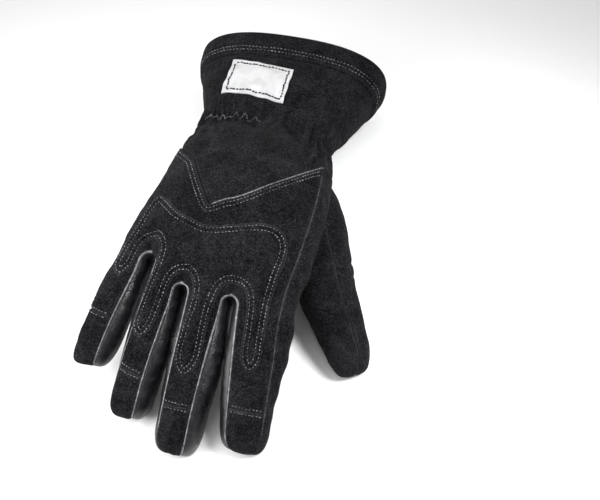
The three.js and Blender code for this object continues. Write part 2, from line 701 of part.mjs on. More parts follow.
const outside = ({ i, column }, list) => !list.some(([strip, col]) => strip === i && col === column);
const freeEdges = [
  [0, 0],
  [FINGERS.length - 1, columnsAt(0).length - 2],
];
const inTongue = ({ i, row, column }) =>
  row >= ARCH_ROW && row < TONGUE_ENDS[i] && column > 0 && column < columnsAt(0).length - 2;
const overKnuckles = (face) =>
  face.row >= GUARD_START && face.row < ARCH_ROW && outside(face, freeEdges);
const thumbHalf = (half) => {
  const faces = thumb.faces.filter((face) => face.side === half);
  return whole(solid(thicken(thumb, faces, -WALL, 0)).subtract(handBlock));
};

const palm = onSide("palm");
const mainBack = back.filter((face) => face.row < CAP_ROWS[face.i]);
const forchette = (k) => panel(onSide("wall" + k));
const thumbBlock = filled(thumb, SEAM_GAP);

const pieces = {
  cuff_hem: panel(onSide("hem"), HEM_WALL),
  cuff: panel(onSide("cuff")),
  back_panel: panel(mainBack),
  palm_panel: whole(panel(palm).subtract(thumbHollow)),
  side_gusset: whole(panel(onSide("wall4")).subtract(thumbHollow)),
  forchette_little_ring: forchette(1),
  forchette_ring_middle: forchette(2),
  forchette_middle_index: forchette(3),
  thumb_inner: thumbHalf("inner"),
  thumb_outer: thumbHalf("outer"),
  knuckle_guard: cover(back.filter((face) => overKnuckles(face) || inTongue(face))),
  palm_patch: whole(
    cover(
      palm.filter(
        (face) => face.row >= PATCH_ROWS[0] && face.row < PATCH_ROWS[1] && outside(face, freeEdges),
      ),
    ).subtract(thumbBlock),
  ),
  label: solid(thicken(label, label.faces, SEAM_GAP, SEAM_GAP + LABEL_WALL)),
};
FINGERS.forEach((finger, i) => {
  const cap = back.filter((face) => face.i === i && face.row >= CAP_ROWS[i]);
  pieces["tip_" + finger.name] = panel(cap);
});

// Colours of the leathers and the cloth.
const SUEDE = new THREE.Color(0.035, 0.036, 0.042);
const SMOOTH = new THREE.Color(0.018, 0.018, 0.02);
const CLOTH = new THREE.Color(0.8, 0.8, 0.79);
const looks = { label: [CLOTH, 0.85] };
for (const name of ["forchette_little_ring", "forchette_ring_middle", "forchette_middle_index"]) {
  looks[name] = [SMOOTH, 0.4];
}

// Every piece becomes a mesh, set with the box's bottom centre at the origin.
const glove = new THREE.Group();
const box = new THREE.Box3();
for (const [name, body] of Object.entries(pieces)) {
  const made = body.getMesh();
  const geometry = new THREE.BufferGeometry();
  const positions = new THREE.BufferAttribute(new Float32Array(made.vertProperties), 3);
  geometry.setAttribute("position", positions);
  geometry.setIndex(new THREE.BufferAttribute(new Uint32Array(made.triVerts), 1));
  geometry.computeVertexNormals();
  geometry.computeBoundingBox();
  box.union(geometry.boundingBox);
  const [color, roughness] = looks[name] ?? [SUEDE, 0.95];
  const mesh = new THREE.Mesh(geometry, new THREE.MeshStandardMaterial({ color, roughness }));
  mesh.name = name;
  glove.add(mesh);
}
const centre = box.getCenter(new THREE.Vector3());
for (const mesh of glove.children) mesh.geometry.translate(-centre.x, -centre.y, -box.min.z);

export default glove;
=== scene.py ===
# A right-hand firefighting glove of black suede, lying palm down with its cuff open.
# Each section dresses one piece, or a group of like pieces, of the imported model.
import bpy
import numpy as np
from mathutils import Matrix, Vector
from mathutils.bvhtree import BVHTree
from mathutils.geometry import delaunay_2d_cdt


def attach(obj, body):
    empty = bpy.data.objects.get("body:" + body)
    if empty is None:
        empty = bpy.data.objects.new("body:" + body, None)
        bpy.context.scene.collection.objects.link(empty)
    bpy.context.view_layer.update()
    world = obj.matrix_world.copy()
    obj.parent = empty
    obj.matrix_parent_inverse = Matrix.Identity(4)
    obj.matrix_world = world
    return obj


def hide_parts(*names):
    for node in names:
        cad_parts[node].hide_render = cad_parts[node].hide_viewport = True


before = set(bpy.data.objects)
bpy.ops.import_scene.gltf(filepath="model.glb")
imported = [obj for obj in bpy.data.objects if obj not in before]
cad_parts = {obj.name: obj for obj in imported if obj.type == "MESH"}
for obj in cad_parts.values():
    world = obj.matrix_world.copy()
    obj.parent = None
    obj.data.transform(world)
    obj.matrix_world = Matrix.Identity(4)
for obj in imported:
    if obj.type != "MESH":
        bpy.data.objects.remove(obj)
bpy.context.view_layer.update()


# The gauntlet cuff is one tube of thick suede, wide at the mouth and drawn in at the wrist, where an
# elastic sewn inside gathers it into fine pleats. Its lower edge runs down into the point of the yoke.
CUFF, HAND, FINGER, HEM = 82.0, 130.0, 95.0, 22.0
RIM_WIDTH, RIM_HEIGHT = 139.5, 67.0
WRIST_WIDTH, WRIST_HEIGHT = 94.0, 40.0
PALM_WIDTH, PALM_HEIGHT = 117.0, 55.0
PRESSED, FLATTENING = 5.0, 2.0
CENTRE = np.array([17.8089, -147.9634, 0.0])
BLUNT = 2.5
WALL = 2.4
SPINE = [
    (0, -5), (0.55, -8.5), (0.98, -10.5), (1.37, -5.5), (1.68, 4.5), (1.95, 14),
    (2.3, 22), (2.61, 28.5), (2.93, 31.5),
]
SECTIONS = [
    (0, RIM_WIDTH, RIM_HEIGHT, 0.462, 0.538, 0.5, 0.5),
    (0.27, RIM_WIDTH, RIM_HEIGHT, 0.434, 0.505, 0.46, 0.46),
    (0.61, RIM_WIDTH, RIM_HEIGHT, 0.361, 0.434, 0.43, 0.43),
    (1, WRIST_WIDTH, WRIST_HEIGHT, 0.457, 0.543, 0.5, 0.5),
    (1.25, PALM_WIDTH, PALM_HEIGHT, 0.391, 0.496, 0.5, 0.48),
    (1.52, PALM_WIDTH, PALM_HEIGHT, 0.42, 0.521, 0.51, 0.49),
    (1.75, PALM_WIDTH, PALM_HEIGHT, 0.474, 0.51, 0.436, 0.418),
    (1.95, PALM_WIDTH, PALM_HEIGHT, 0.491, 0.481, 0.345, 0.33),
]
DENTS = [
    (0.29, 90, 0.03, 400, 0.049), (0.97, 156, 0.13, 9, 0.07), (1.0, 122, 0.15, 8, 0.084),
    (1.02, 97, 0.14, 8, 0.077), (1.04, 71, 0.16, 8, 0.084), (1.06, 42, 0.15, 9, 0.084),
    (0.78, 20, 0.12, 16, 0.098), (1.0, 215, 0.15, 10, 0.084), (1.02, 252, 0.16, 10, 0.084),
    (1.04, 290, 0.15, 10, 0.084),
]
LINES = [
    (1.19, 1.19, 1.78, -0.49, 0), (1.43, 1.2, 1.885, -0.304, 0.055), (1.658, 1.2, 1.998, -0.097, 0.08),
    (1.51, 1.2, 2.01, 0.159, 0.135), (1.27, 1.2, 2, 0.46, 0),
]
GUSSET_BACK, GUSSET_PALM = 32, 34
SOFTER = 0.6
# The last of these is the width in millimetres of the painted highlight along each panel's edges.
SHARP_ANGLE, STEPS_PER_MM, SEAM_SHEEN_BAND = 55, 50, 1.3


def ease(t):
    """A step from 0 to 1 that starts and ends level: three squares less two cubes."""
    t = np.clip(t, 0, 1)
    return t * t * (3 - 2 * t)


def lerp(a, b, t):
    """The value a share t of the way from a to b."""
    return a + (b - a) * t


def bell(at, middle, wide):
    """A bump of height 1: e to the power of less the square of the distance to its middle over its width."""
    return np.exp(-(((at - middle) / wide) ** 2))


def quarter(t):
    """A quarter round from 0 to 1: the root of 1 less the square of what t leaves to go."""
    return np.sqrt(1 - (1 - np.clip(t, 0, 1)) ** 2)


def pressed_flat(z):
    """Heights with what would lie below the floor brought on to it, eased by a square near the floor."""
    eased = (z + FLATTENING) ** 2 / (4 * FLATTENING)
    return np.where(z >= FLATTENING, z, np.where(z <= -FLATTENING, 0, eased))


def curve(places, values):
    """A smooth line through a table: each span is a cubic whose slopes are its neighbours' mean."""
    places, values = np.array(places, float), np.array(values, float)
    rise = np.diff(values) / np.diff(places)
    slope = np.concatenate([rise[:1], (rise[1:] + rise[:-1]) / 2, rise[-1:]])

    def at(x):
        x = np.clip(x, places[0], places[-1])
        i = np.clip(np.searchsorted(places, x, side="right") - 1, 0, len(places) - 2)
        span = places[i + 1] - places[i]
        t = (x - places[i]) / span
        near = (2 * t**3 - 3 * t**2 + 1) * values[i] + (t**3 - 2 * t**2 + t) * span * slope[i]
        far = (3 * t**2 - 2 * t**3) * values[i + 1] + (t**3 - t**2) * span * slope[i + 1]
        return near + far

    return at


def along(station):
    """Distance from the rim of a station: 1 is the wrist, 2 the crotch line, 3 the longest fingertip."""
    station = np.asarray(station, float)
    hand = HAND * np.clip(station - 1, 0, 1)
    return CUFF * np.minimum(station, 1) + hand + FINGER * np.maximum(station - 2, 0)


tilt_at = curve([along(a) for a, _ in SPINE], [np.radians(t) for _, t in SPINE])
spine_q = np.arange(0, 347.01, 0.5)
step_tilt = tilt_at(spine_q[:-1] + 0.25)
spine_y = np.concatenate([[0], -np.cumsum(np.cos(step_tilt) * 0.5)])
spine_z = RIM_HEIGHT / 2 - PRESSED - np.concatenate([[0], np.cumsum(np.sin(step_tilt) * 0.5)])
stations = [along(row[0]) for row in SECTIONS]
left_at = curve(stations, [row[1] * row[3] for row in SECTIONS])
right_at = curve(stations, [row[1] * row[4] for row in SECTIONS])
back_at = curve(stations, [row[2] * row[5] for row in SECTIONS])
palm_at = curve(stations, [row[2] * row[6] for row in SECTIONS])


def place(p, q, n, pressed=True):
    """A point across, along and out of the hand, in the model's frame: the spine's point at q, moved
    sideways by p and by n square to the spine. What would lie below the floor is pressed flat on it."""
    tilt = tilt_at(q)
    y = np.interp(q, spine_q, spine_y) - n * np.sin(tilt)
    z = np.interp(q, spine_q, spine_z) + n * np.cos(tilt)
    return np.stack(np.broadcast_arrays(p, y, pressed_flat(z) if pressed else z), -1) - CENTRE


def oval(angle):
    """A blunt unit oval: the cosine and the sine of the angle, each to the power of 2 over BLUNT."""
    c, s = np.cos(np.radians(angle)), np.sin(np.radians(angle))
    return np.sign(c) * np.abs(c) ** (2 / BLUNT), np.sign(s) * np.abs(s) ** (2 / BLUNT)


def section(angle, q):
    """Across and out at an angle round the cuff or hand: the oval times its half sizes, less the dents,
    each of which is a bell in the angle and along the hand."""
    x, z = oval(angle)
    left, right, deep = left_at(q), right_at(q), 0
    for at, around, long, wide, depth in DENTS:
        turn = (np.mod(angle, 360) - around + 540) % 360 - 180
        off = (q - along(at)) / (long * CUFF)
        deep = deep + SOFTER * depth * WRIST_HEIGHT * np.exp(-(off**2) - (turn / wide) ** 2)
    high = np.where(z > 0, back_at(q), palm_at(q)) - deep
    return (right - left) / 2 + ((left + right) / 2 - deep) * x, high * z


def wobble(at, size, seed):
    """Soft bumps about size long: seven waves in random directions, added up to about -1 to 1."""
    draw = np.random.default_rng(seed)
    total = 0
    for _ in range(7):
        way = draw.normal(size=3)
        way *= 2 * np.pi / (size * draw.uniform(0.75, 1.5) * np.linalg.norm(way))
        total = total + np.sin(at @ way + draw.uniform(0, 6.28))
    return total / 3.5


def spread(values, corners, count):
    """The sum at each point of the values of the triangles that meet there."""
    three = np.repeat(values, 3, axis=0)
    return np.stack([np.bincount(corners.ravel(), three[:, c], count) for c in range(3)], -1)


def outward(points, triangles, passes=2):
    """Each point's direction out of the skin: the mean of its triangles' normals, evened with its
    neighbours' ones."""
    a, b, c = points[triangles].transpose(1, 0, 2)
    normals = spread(np.cross(b - a, c - a), triangles, len(points))
    for _ in range(passes):
        normals /= np.linalg.norm(normals, axis=1)[:, None] + 1e-12
        normals = normals + spread(normals[triangles].sum(1), triangles, len(points)) / 3
    return normals / (np.linalg.norm(normals, axis=1)[:, None] + 1e-12)


def nearest_of(points, others, block=4000):
    """The distance from each point to the nearest of the others."""
    sizes = (others**2).sum(1)
    found = []
    for start in range(0, len(points), block):
        part = points[start : start + block]
        gaps = (part**2).sum(1)[:, None] + sizes - 2 * part @ others.T
        found.append(np.sqrt(np.maximum(gaps.min(1), 0)))
    return np.concatenate(found)


def make_piece(name, points, triangles, materials, slots=None, marks=None):
    """A mesh object from arrays in millimetres, smooth apart from its sharp edges, riding on the body.
    Slots are its triangles' materials, and marks are numbers at its points that the materials read."""
    mesh = bpy.data.meshes.new(name)
    mesh.vertices.add(len(points))
    mesh.vertices.foreach_set("co", (points / 1000).astype(np.float32).ravel())
    mesh.loops.add(triangles.size)
    mesh.loops.foreach_set("vertex_index", triangles.astype(np.int32).ravel())
    mesh.polygons.add(len(triangles))
    mesh.polygons.foreach_set("loop_start", np.arange(0, triangles.size, 3, dtype=np.int32))
    if slots is not None:
        mesh.polygons.foreach_set("material_index", np.asarray(slots, np.int32))
    mesh.polygons.foreach_set("use_smooth", np.ones(len(triangles), bool))
    for label, values in (marks or {}).items():
        layer = mesh.attributes.new(label, "FLOAT", "POINT")
        layer.data.foreach_set("value", values.astype(np.float32))
    mesh.update(calc_edges=True)
    mesh.validate()
    mesh.set_sharp_from_angle(angle=np.radians(SHARP_ANGLE))
    for material in materials:
        mesh.materials.append(material)
    piece = bpy.data.objects.new(name, mesh)
    bpy.context.scene.collection.objects.link(piece)
    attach(piece, "root")
    return piece


def lengths(line):
    """The distance along a line from its start to each of its points."""
    return np.concatenate([[0], np.cumsum(np.linalg.norm(np.diff(line, axis=0), axis=1))])


def at_lengths(places, steps, values):
    """Values given at some distances along a line, each column worked out at other distances."""
    return np.stack([np.interp(places, steps, column) for column in values.T], -1)


def quads_of(grids):
    """The points of some grids in one list, and the four corners of each of their cells."""
    cells, shift = [], 0
    for grid, flip in grids:
        k = shift + np.arange(grid.shape[0] * grid.shape[1]).reshape(grid.shape[:2])
        a, b, c, d = k[:-1, :-1], k[:-1, 1:], k[1:, 1:], k[1:, :-1]
        cells.append(np.stack((a, b, c, d) if flip else (a, d, c, b), -1).reshape(-1, 4))
        shift += k.size
    return np.concatenate([grid.reshape(-1, 3) for grid, _ in grids]), np.concatenate(cells)


def rim_of(triangles, count):
    """The edges that only one triangle has, each as its two points in that triangle's order."""
    edges = np.concatenate([triangles[:, [0, 1]], triangles[:, [1, 2]], triangles[:, [2, 0]]])
    return edges[~np.isin(edges[:, 0] * count + edges[:, 1], edges[:, 1] * count + edges[:, 0])]


def walled(name, outer, inner, triangles, rim, seam, materials):
    """A wall as one piece: its outer face, its inner face turned round and a strip along the rim. The
    inner face has the last material. Returns the piece and a tree of the outer face."""
    count = len(outer)
    start, end = rim.T
    sides = [np.stack([start, start + count, end], -1), np.stack([start + count, end + count, end], -1)]
    every = np.concatenate([triangles, triangles[:, ::-1] + count, *sides])
    slots = np.repeat([0, len(materials) - 1, 0], [len(triangles), len(triangles), 2 * len(rim)])
    # The seam mark tells the materials where to paint a highlight along the edges.
    marks = {"seam": np.tile(seam, 2)}
    piece = make_piece(name, np.concatenate([outer, inner]), every, materials, slots, marks)
    return piece, BVHTree.FromPolygons((outer / 1000).tolist(), triangles.tolist())


def sew(
    name, grids, materials, wall=WALL, lift=0.0, roll=1.5, turned=1.3, soft=0.3, relief=None, cut=None,
    seed=1,
):
    """A leather panel from grids of points, each with the way it faces. The grids are joined into one
    skin, which gets an outer and an inner face a wall apart and a rim between them. Towards its edges
    the outer face rolls down in a quarter round. Returns the piece and a tree of its outer face."""
    points, quads = quads_of(grids)
    rounded = np.round(points * STEPS_PER_MM).astype(np.int64)
    _, first, same = np.unique(rounded, axis=0, return_index=True, return_inverse=True)
    triangles = same.reshape(-1)[quads[:, [0, 1, 2, 0, 2, 3]].reshape(-1, 3)]
    bumps = np.zeros(len(points)) if relief is None else np.concatenate([r.ravel() for r in relief])
    points, bumps = points[first], bumps[first]
    a, b, c = triangles.T
    triangles = triangles[(a != b) & (b != c) & (a != c)]
    if cut is not None:
        inside = cut(points)
        triangles = triangles[~inside[triangles].any(1)]
        used, small = np.unique(triangles, return_inverse=True)
        triangles, points, bumps = small.reshape(-1, 3), points[used], bumps[used]
    normals = outward(points, triangles)
    rim = rim_of(triangles, len(points))
    near = nearest_of(points, points[np.unique(rim)])
    down = 1 - quarter(near / roll)
    waves = soft * (wobble(points, 26, seed) + 0.5 * wobble(points, 9, seed + 1)) * ease(near / 6)
    outer = points + normals * (lift + bumps * ease(near / 3) + waves - turned * down)[:, None]
    inner = points - normals * (wall - 0.3 * turned * down)[:, None]
    outer[:, 2] = np.maximum(outer[:, 2], 0)
    # The last mark, highest at the rim, is where the materials paint a highlight.
    return walled(name, outer, inner, triangles, rim, bell(near, 0, SEAM_SHEEN_BAND), materials)


def new_group(name, **values):
    """An empty shader group that takes a vector, a dark and a light colour and some values, and gives a
    colour, a height and a roughness."""
    group = bpy.data.node_groups.new(name, "ShaderNodeTree")
    for label, kind in (("Vector", "Vector"), ("Dark", "Color"), ("Light", "Color")):
        group.interface.new_socket(label, in_out="INPUT", socket_type="NodeSocket" + kind)
    for label, value in values.items():
        socket = group.interface.new_socket(label, in_out="INPUT", socket_type="NodeSocketFloat")
        socket.default_value = value
    for label, kind in (("Color", "Color"), ("Height", "Float"), ("Roughness", "Float")):
        group.interface.new_socket(label, in_out="OUTPUT", socket_type="NodeSocket" + kind)
    start, end = group.nodes.new("NodeGroupInput"), group.nodes.new("NodeGroupOutput")
    return group, start.outputs, end.inputs


def add(tree, kind, settings=None, **sockets):
    """A new node, with its settings and with its inputs set or linked, by name or as n and a number."""
    node = tree.nodes.new("ShaderNode" + kind)
    for label, value in (settings or {}).items():
        setattr(node, label, value)
    for label, value in sockets.items():
        numbered = label[0] == "n" and label[1:].isdigit()
        socket = node.inputs[int(label[1:]) if numbered else label.replace("_", " ")]
        if isinstance(value, bpy.types.NodeSocket):
            tree.links.new(value, socket)
        else:
            socket.default_value = value
    return node


def noise(tree, vector, scale, detail=3.0, rough=0.6, distort=0.0):
    """The 0 to 1 value of a noise of that scale."""
    sizes = {"Scale": scale, "Detail": detail, "Roughness": rough, "Distortion": distort}
    return add(tree, "TexNoise", Vector=vector, **sizes).outputs["Fac"]


def ranged(tree, value, low, high, to_low=0.0, to_high=1.0):
    """A value stretched from one range to another, and held inside it."""
    made = add(tree, "MapRange", Value=value, n1=low, n2=high, n3=to_low, n4=to_high)
    return made.outputs["Result"]


def maths(tree, how, a, b):
    """One sum of two values."""
    return add(tree, "Math", {"operation": how}, n0=a, n1=b).outputs[0]


def weighed(tree, *parts):
    """The sum of some values, each times its weight."""
    total = 0.0
    for value, weight in parts:
        total = maths(tree, "ADD", maths(tree, "MULTIPLY", value, weight), total)
    return total


def mixed(tree, share, a, b):
    """Two colours mixed by a share."""
    return add(tree, "Mix", {"data_type": "RGBA"}, Factor=share, n6=a, n7=b).outputs[2]


# The nap of suede: short fibres brushed into darker and lighter patches, with pale flecks, and a painted
# highlight that makes it paler where it is turned over at a seam.
nap, given, out = new_group("nap of suede", Fibre=1100.0, Brushing=0.5, Seam=0.0)
fibres = noise(nap, given["Vector"], given["Fibre"], 2.0, 0.6)
clumps = noise(nap, given["Vector"], 330.0, 3.0, 0.65)
patches = noise(nap, given["Vector"], 60.0, 4.0, 0.65, 0.8)
brushed = maths(nap, "MULTIPLY", ranged(nap, patches, 0.32, 0.7), given["Brushing"])
flecks = maths(nap, "POWER", ranged(nap, fibres, 0.36, 0.74), 1.6)
mottle = ranged(nap, clumps, 0.35, 0.75)
# The seam input is a painted highlight: it moves the suede towards its light colour along each edge.
share = weighed(nap, (flecks, 1.1), (brushed, 1.0), (mottle, 0.3), (given["Seam"], 0.5))
nap_share = maths(nap, "POWER", ranged(nap, share, 0.2, 1.35), 1.35)
nap.links.new(mixed(nap, nap_share, given["Dark"], given["Light"]), out["Color"])
nap.links.new(weighed(nap, (fibres, 1.0), (clumps, 0.9)), out["Height"])
nap.links.new(ranged(nap, fibres, 0.3, 0.7, 0.98, 0.82), out["Roughness"])


def finish_of(name, group, dark, light, depth, values=None, strength=1.0, **shader):
    """A material round one of the surface groups: its colour, roughness and height feed a plain
    shader, whose other sockets are constant."""
    material = bpy.data.materials.new(name)
    material.use_nodes = True
    tree = material.node_tree
    tree.nodes.clear()
    at = add(tree, "TexCoord").outputs["Object"]
    surface = add(tree, "Group", {"node_tree": group})
    tree.links.new(at, surface.inputs["Vector"])
    for label, value in {"Dark": (*dark, 1), "Light": (*light, 1), **(values or {})}.items():
        surface.inputs[label].default_value = value
    if "Seam" in surface.inputs:
        mark = add(tree, "Attribute", {"attribute_name": "seam"}).outputs["Fac"]
        tree.links.new(mark, surface.inputs["Seam"])
    bump = add(tree, "Bump", Strength=strength, Distance=depth, Height=surface.outputs["Height"])
    outs = surface.outputs
    shade = add(
        tree, "BsdfPrincipled",
        Base_Color=outs["Color"], Roughness=outs["Roughness"], Normal=bump.outputs[0], **shader,
    )
    add(tree, "OutputMaterial", Surface=shade.outputs[0])
    return material


suede = finish_of(
    "black suede", nap, (0.0005, 0.0005, 0.0007), (0.03, 0.03, 0.035), 0.0014, {"Brushing": 0.45},
    Sheen_Weight=0.02, Sheen_Roughness=0.5, Specular_IOR_Level=0.05,
)
lining = finish_of(
    "dark fleece lining", nap, (0.004, 0.004, 0.0045), (0.03, 0.03, 0.033), 0.0006,
    {"Fibre": 700.0, "Brushing": 0.2}, Sheen_Weight=0.03, Specular_IOR_Level=0.15,
)
leather_pair = [suede, lining]

knuckles = along(SECTIONS[-1][0])
mid_half = (left_at(knuckles) + right_at(knuckles)) / 2
mid_shift = (right_at(knuckles) - left_at(knuckles)) / 2
inner_x = [(line[3] * PALM_WIDTH - mid_shift) / mid_half for line in LINES[1:4]]
inner_angles = [float(np.degrees(np.arccos(np.sign(x) * abs(x) ** (BLUNT / 2)))) for x in inner_x]
back_angles = [180.0, *inner_angles, GUSSET_BACK]
palm_angles = [180.0, *(360 - angle for angle in inner_angles), 360 - GUSSET_PALM]
crotch_q = [float(along(line[2])) for line in LINES]
COLUMNS = 37
across = np.linspace(-1, 1, COLUMNS)
share_across = (across + 1) / 2


def yoke_ring():
    """Angles round the cuff's lower edge, and how far down the hand that edge lies at each."""
    angles, ends = [], []
    for i in range(4):
        angles.append(lerp(back_angles[i], back_angles[i + 1], share_across)[:-1])
        ends.append(lerp(along(LINES[i][0]), along(LINES[i + 1][0]), share_across)[:-1])
    down = np.linspace(0, 1, 31)[:-1]
    angles.append(lerp(GUSSET_BACK, -GUSSET_PALM, down))
    ends.append(lerp(along(LINES[4][0]), along(LINES[4][1]), down))
    for i in (3, 2, 1, 0):
        angles.append(lerp(palm_angles[i + 1], palm_angles[i], share_across)[:-1])
        ends.append(lerp(along(LINES[i + 1][1]), along(LINES[i][1]), share_across)[:-1])
    angles, ends = np.concatenate(angles), np.concatenate(ends)
    return np.append(angles, angles[0]), np.append(ends, ends[0])


ring_angle, ring_end = yoke_ring()
rows = np.linspace(0, 1, 92)[:, None]
cuff_q = lerp(HEM - 3, ring_end[None], rows)
cuff_angle = np.broadcast_to(ring_angle[None], cuff_q.shape)
turn = np.radians(cuff_angle)
pleats = 0.7 * np.sin(turn * 31 + 1.3 * np.sin(turn * 7) + cuff_q / 9)
pleats = pleats + np.sin(turn * 58 + 2.4 * np.sin(turn * 5 + cuff_q / 11))
slack = np.sin(turn * 14 + cuff_q / 15 + 1.6 * np.sin(cuff_q / 24 + turn * 3))
drawn = bell(cuff_angle, 46, 14) * np.sin(turn * 27 - cuff_q / 16)
slanting = np.sin(turn * 20 + cuff_q / 2.6 + 1.5 * np.sin(turn * 6))
CUFF_FOLDS = [(0.9, 84, 10, pleats), (1.0, 96, 20, slack), (2.6, 102, 17, drawn), (0.8, 97, 9, slanting)]
cuff_relief = sum(deep * bell(cuff_q, middle, wide) * folds for deep, middle, wide, folds in CUFF_FOLDS)
cuff_p, cuff_n = section(cuff_angle, cuff_q)
cuff_grid = place(cuff_p, cuff_q, cuff_n)
cuff, cuff_face = sew(
    "cuff_leather", [(cuff_grid, False)], leather_pair, lift=-0.3, relief=[cuff_relief], soft=0.5, seed=3,
)
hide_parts("cuff")


# The hem is the cuff's own suede turned over at the mouth into a soft doubled band, held by two rows of
# stitches near its lower edge, which stands a little proud of the cuff.
HEM_WALL, HEM_ROWS = 3.6, 34
HEM_STITCHES = (15.6, 19.2)
hem_q = np.broadcast_to(np.linspace(0, HEM, HEM_ROWS)[:, None], (HEM_ROWS, len(ring_angle)))
hem_angle = np.broadcast_to(ring_angle[None], hem_q.shape)
hem_p, hem_n = section(hem_angle, hem_q)
hem_turn = np.radians(hem_angle)
puffs = 0.35 * np.sin(hem_turn * 23 + 2 * np.sin(hem_turn * 5)) * bell(hem_q, 9, 6)
sewn_down = -0.75 * bell(hem_q, HEM_STITCHES[0], 1.6) - 0.5 * bell(hem_q, HEM_STITCHES[1], 1.2)
hem, hem_face = sew(
    "cuff_hem_leather", [(place(hem_p, hem_q, hem_n), False)], [suede, suede],
    wall=HEM_WALL, lift=1.3, roll=2.6, turned=1.9, relief=[puffs + sewn_down], soft=0.4, seed=5,
)
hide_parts("cuff_hem")


# The back of the hand and of the fingers is one suede panel that starts at the yoke's point and is cut
# out round each crotch. It ends at the fingertips' seams, and creases across the fingers' joints.
FINGERS = [
    ("little", 0.815, -0.495, 0.39, 0.456, 0.39, 0.05),
    ("ring", 0.935, -0.248, 0.415, 0.48, 0.412, -0.03),
    ("middle", 1, 0.036, 0.452, 0.5, 0.426, 0.06),
    ("index", 0.902, 0.362, 0.475, 0.507, 0.426, -0.04),
]
FINGER_SIZE, TIP_LENGTH = 29.6, 15.0
SEAM_ANGLE = 52
TIP_ANGLES = [(0, 66), (34, 66), (44, 64), (56, 38)]
CROTCH, CLEARANCE, VALLEY, GUSSET_REACH = 5.0, 1.8, 5.0, 28.0
CAP_ROWS = (1.6, 1.685, 1.7, 1.715)
FULLER_SIDES, FULL_LENGTH = (0.3, 0.7), 0.85 * FINGER
ROOT_LENGTH, VALLEY_LENGTH = 0.34 * FINGER, 0.15 * FINGER
LOWER_TIP, NARROW_TIP, BLUNT_TIP = 2.6, 2.5, 0.42
root_p = [
    float(section(back_angles[k], knuckles)[0]) if k in (0, 4) else LINES[k][3] * PALM_WIDTH
    for k in range(5)
]
tip_q = [(crotch_q[i] + crotch_q[i + 1]) / 2 + FINGERS[i][1] * FINGER for i in range(4)]
seam_share = float(oval(SEAM_ANGLE)[0])


def seam_angle(r, i, side, palm=False):
    """The angle round a finger at which a seam lies. From the crotch on, the back's seams turn away from
    the finger's middle or towards it, because the fingers lie rolled a little to one side."""
    if (i, side) == (0, 0):
        return 0.0 * r
    far = SEAM_ANGLE if palm else TIP_ANGLES[i][side]
    return lerp(SEAM_ANGLE, far, ease((r - 1) / 0.8))


def finger_at(i, q, root):
    """A finger's middle, half widths, half height and lift at q, between its root and its tip."""
    _, _, tip, tip_wide, high, tip_high, lift = FINGERS[i]
    s = np.clip((q - root) / (tip_q[i] - root), 0, 1)
    end = np.clip((q - tip_q[i] + TIP_LENGTH) / TIP_LENGTH, 0, 1)
    lower = (1 - end**LOWER_TIP) ** (1 / LOWER_TIP)
    narrow = lerp(BLUNT_TIP, 1, (1 - end**NARROW_TIP) ** (1 / NARROW_TIP))
    low = root_p[i] + (CROTCH if i > 0 else 0)
    top = root_p[i + 1] - (CROTCH if i < 3 else 0)
    wide, width = tip_wide * FINGER_SIZE, (top - low) / 2
    bulge = (CROTCH - CLEARANCE / 2) / (1 - seam_share)
    return {
        "middle": lerp((low + top) / 2, tip * PALM_WIDTH, s),
        "left": lerp(width if i == 0 else width / seam_share, wide, s) * narrow,
        "right": lerp(width / seam_share, wide, ease(s / 0.85) if i == 3 else s) * narrow,
        "bulge": lerp(bulge, wide, s) * narrow,
        "gusset": lerp(GUSSET_REACH, wide, ease(s)) * narrow * (1 - seam_share),
        "high": lerp(high, tip_high, s) * FINGER_SIZE * lower,
        "lift": lift * FINGER_SIZE * s * s,
    }


def blend_at(r):
    """How far a row has changed from the hand's section to the finger's own."""
    return ease((r - 0.35) / 0.65)


def seam(i, side, r, palm):
    """The seam along one side of a strip: on the hand's section up to the crotch, then on the finger's."""
    k, sign = i + side, -1 if palm else 1
    crotch = 0 < k < 4
    start = along(LINES[k][1] if palm else LINES[k][0])
    q = np.where(r <= 1, lerp(start, crotch_q[k], r), lerp(crotch_q[k], tip_q[i], r - 1))
    angle = (palm_angles if palm else back_angles)[k]
    valley = VALLEY if crotch else 0
    hand_p, hand_n = section(angle, q)
    base_p, base_n = section(angle, crotch_q[k])
    f, g = oval(seam_angle(r, i, side, palm))
    finger = finger_at(i, q, crotch_q[k])
    far = q - crotch_q[k]
    if crotch:
        out, up = quarter(far / CROTCH), ease(far / VALLEY_LENGTH)
    else:
        out = up = ease(far / ROOT_LENGTH)
    wide = -finger["left"] if side == 0 else finger["right"]
    p = lerp(base_p, finger["middle"] + wide * f, out)
    n = lerp(base_n - sign * valley, sign * finger["high"] * g + finger["lift"], up)
    return np.where(r <= 1, hand_p, p), q, np.where(r <= 1, hand_n - sign * valley * blend_at(r), n)


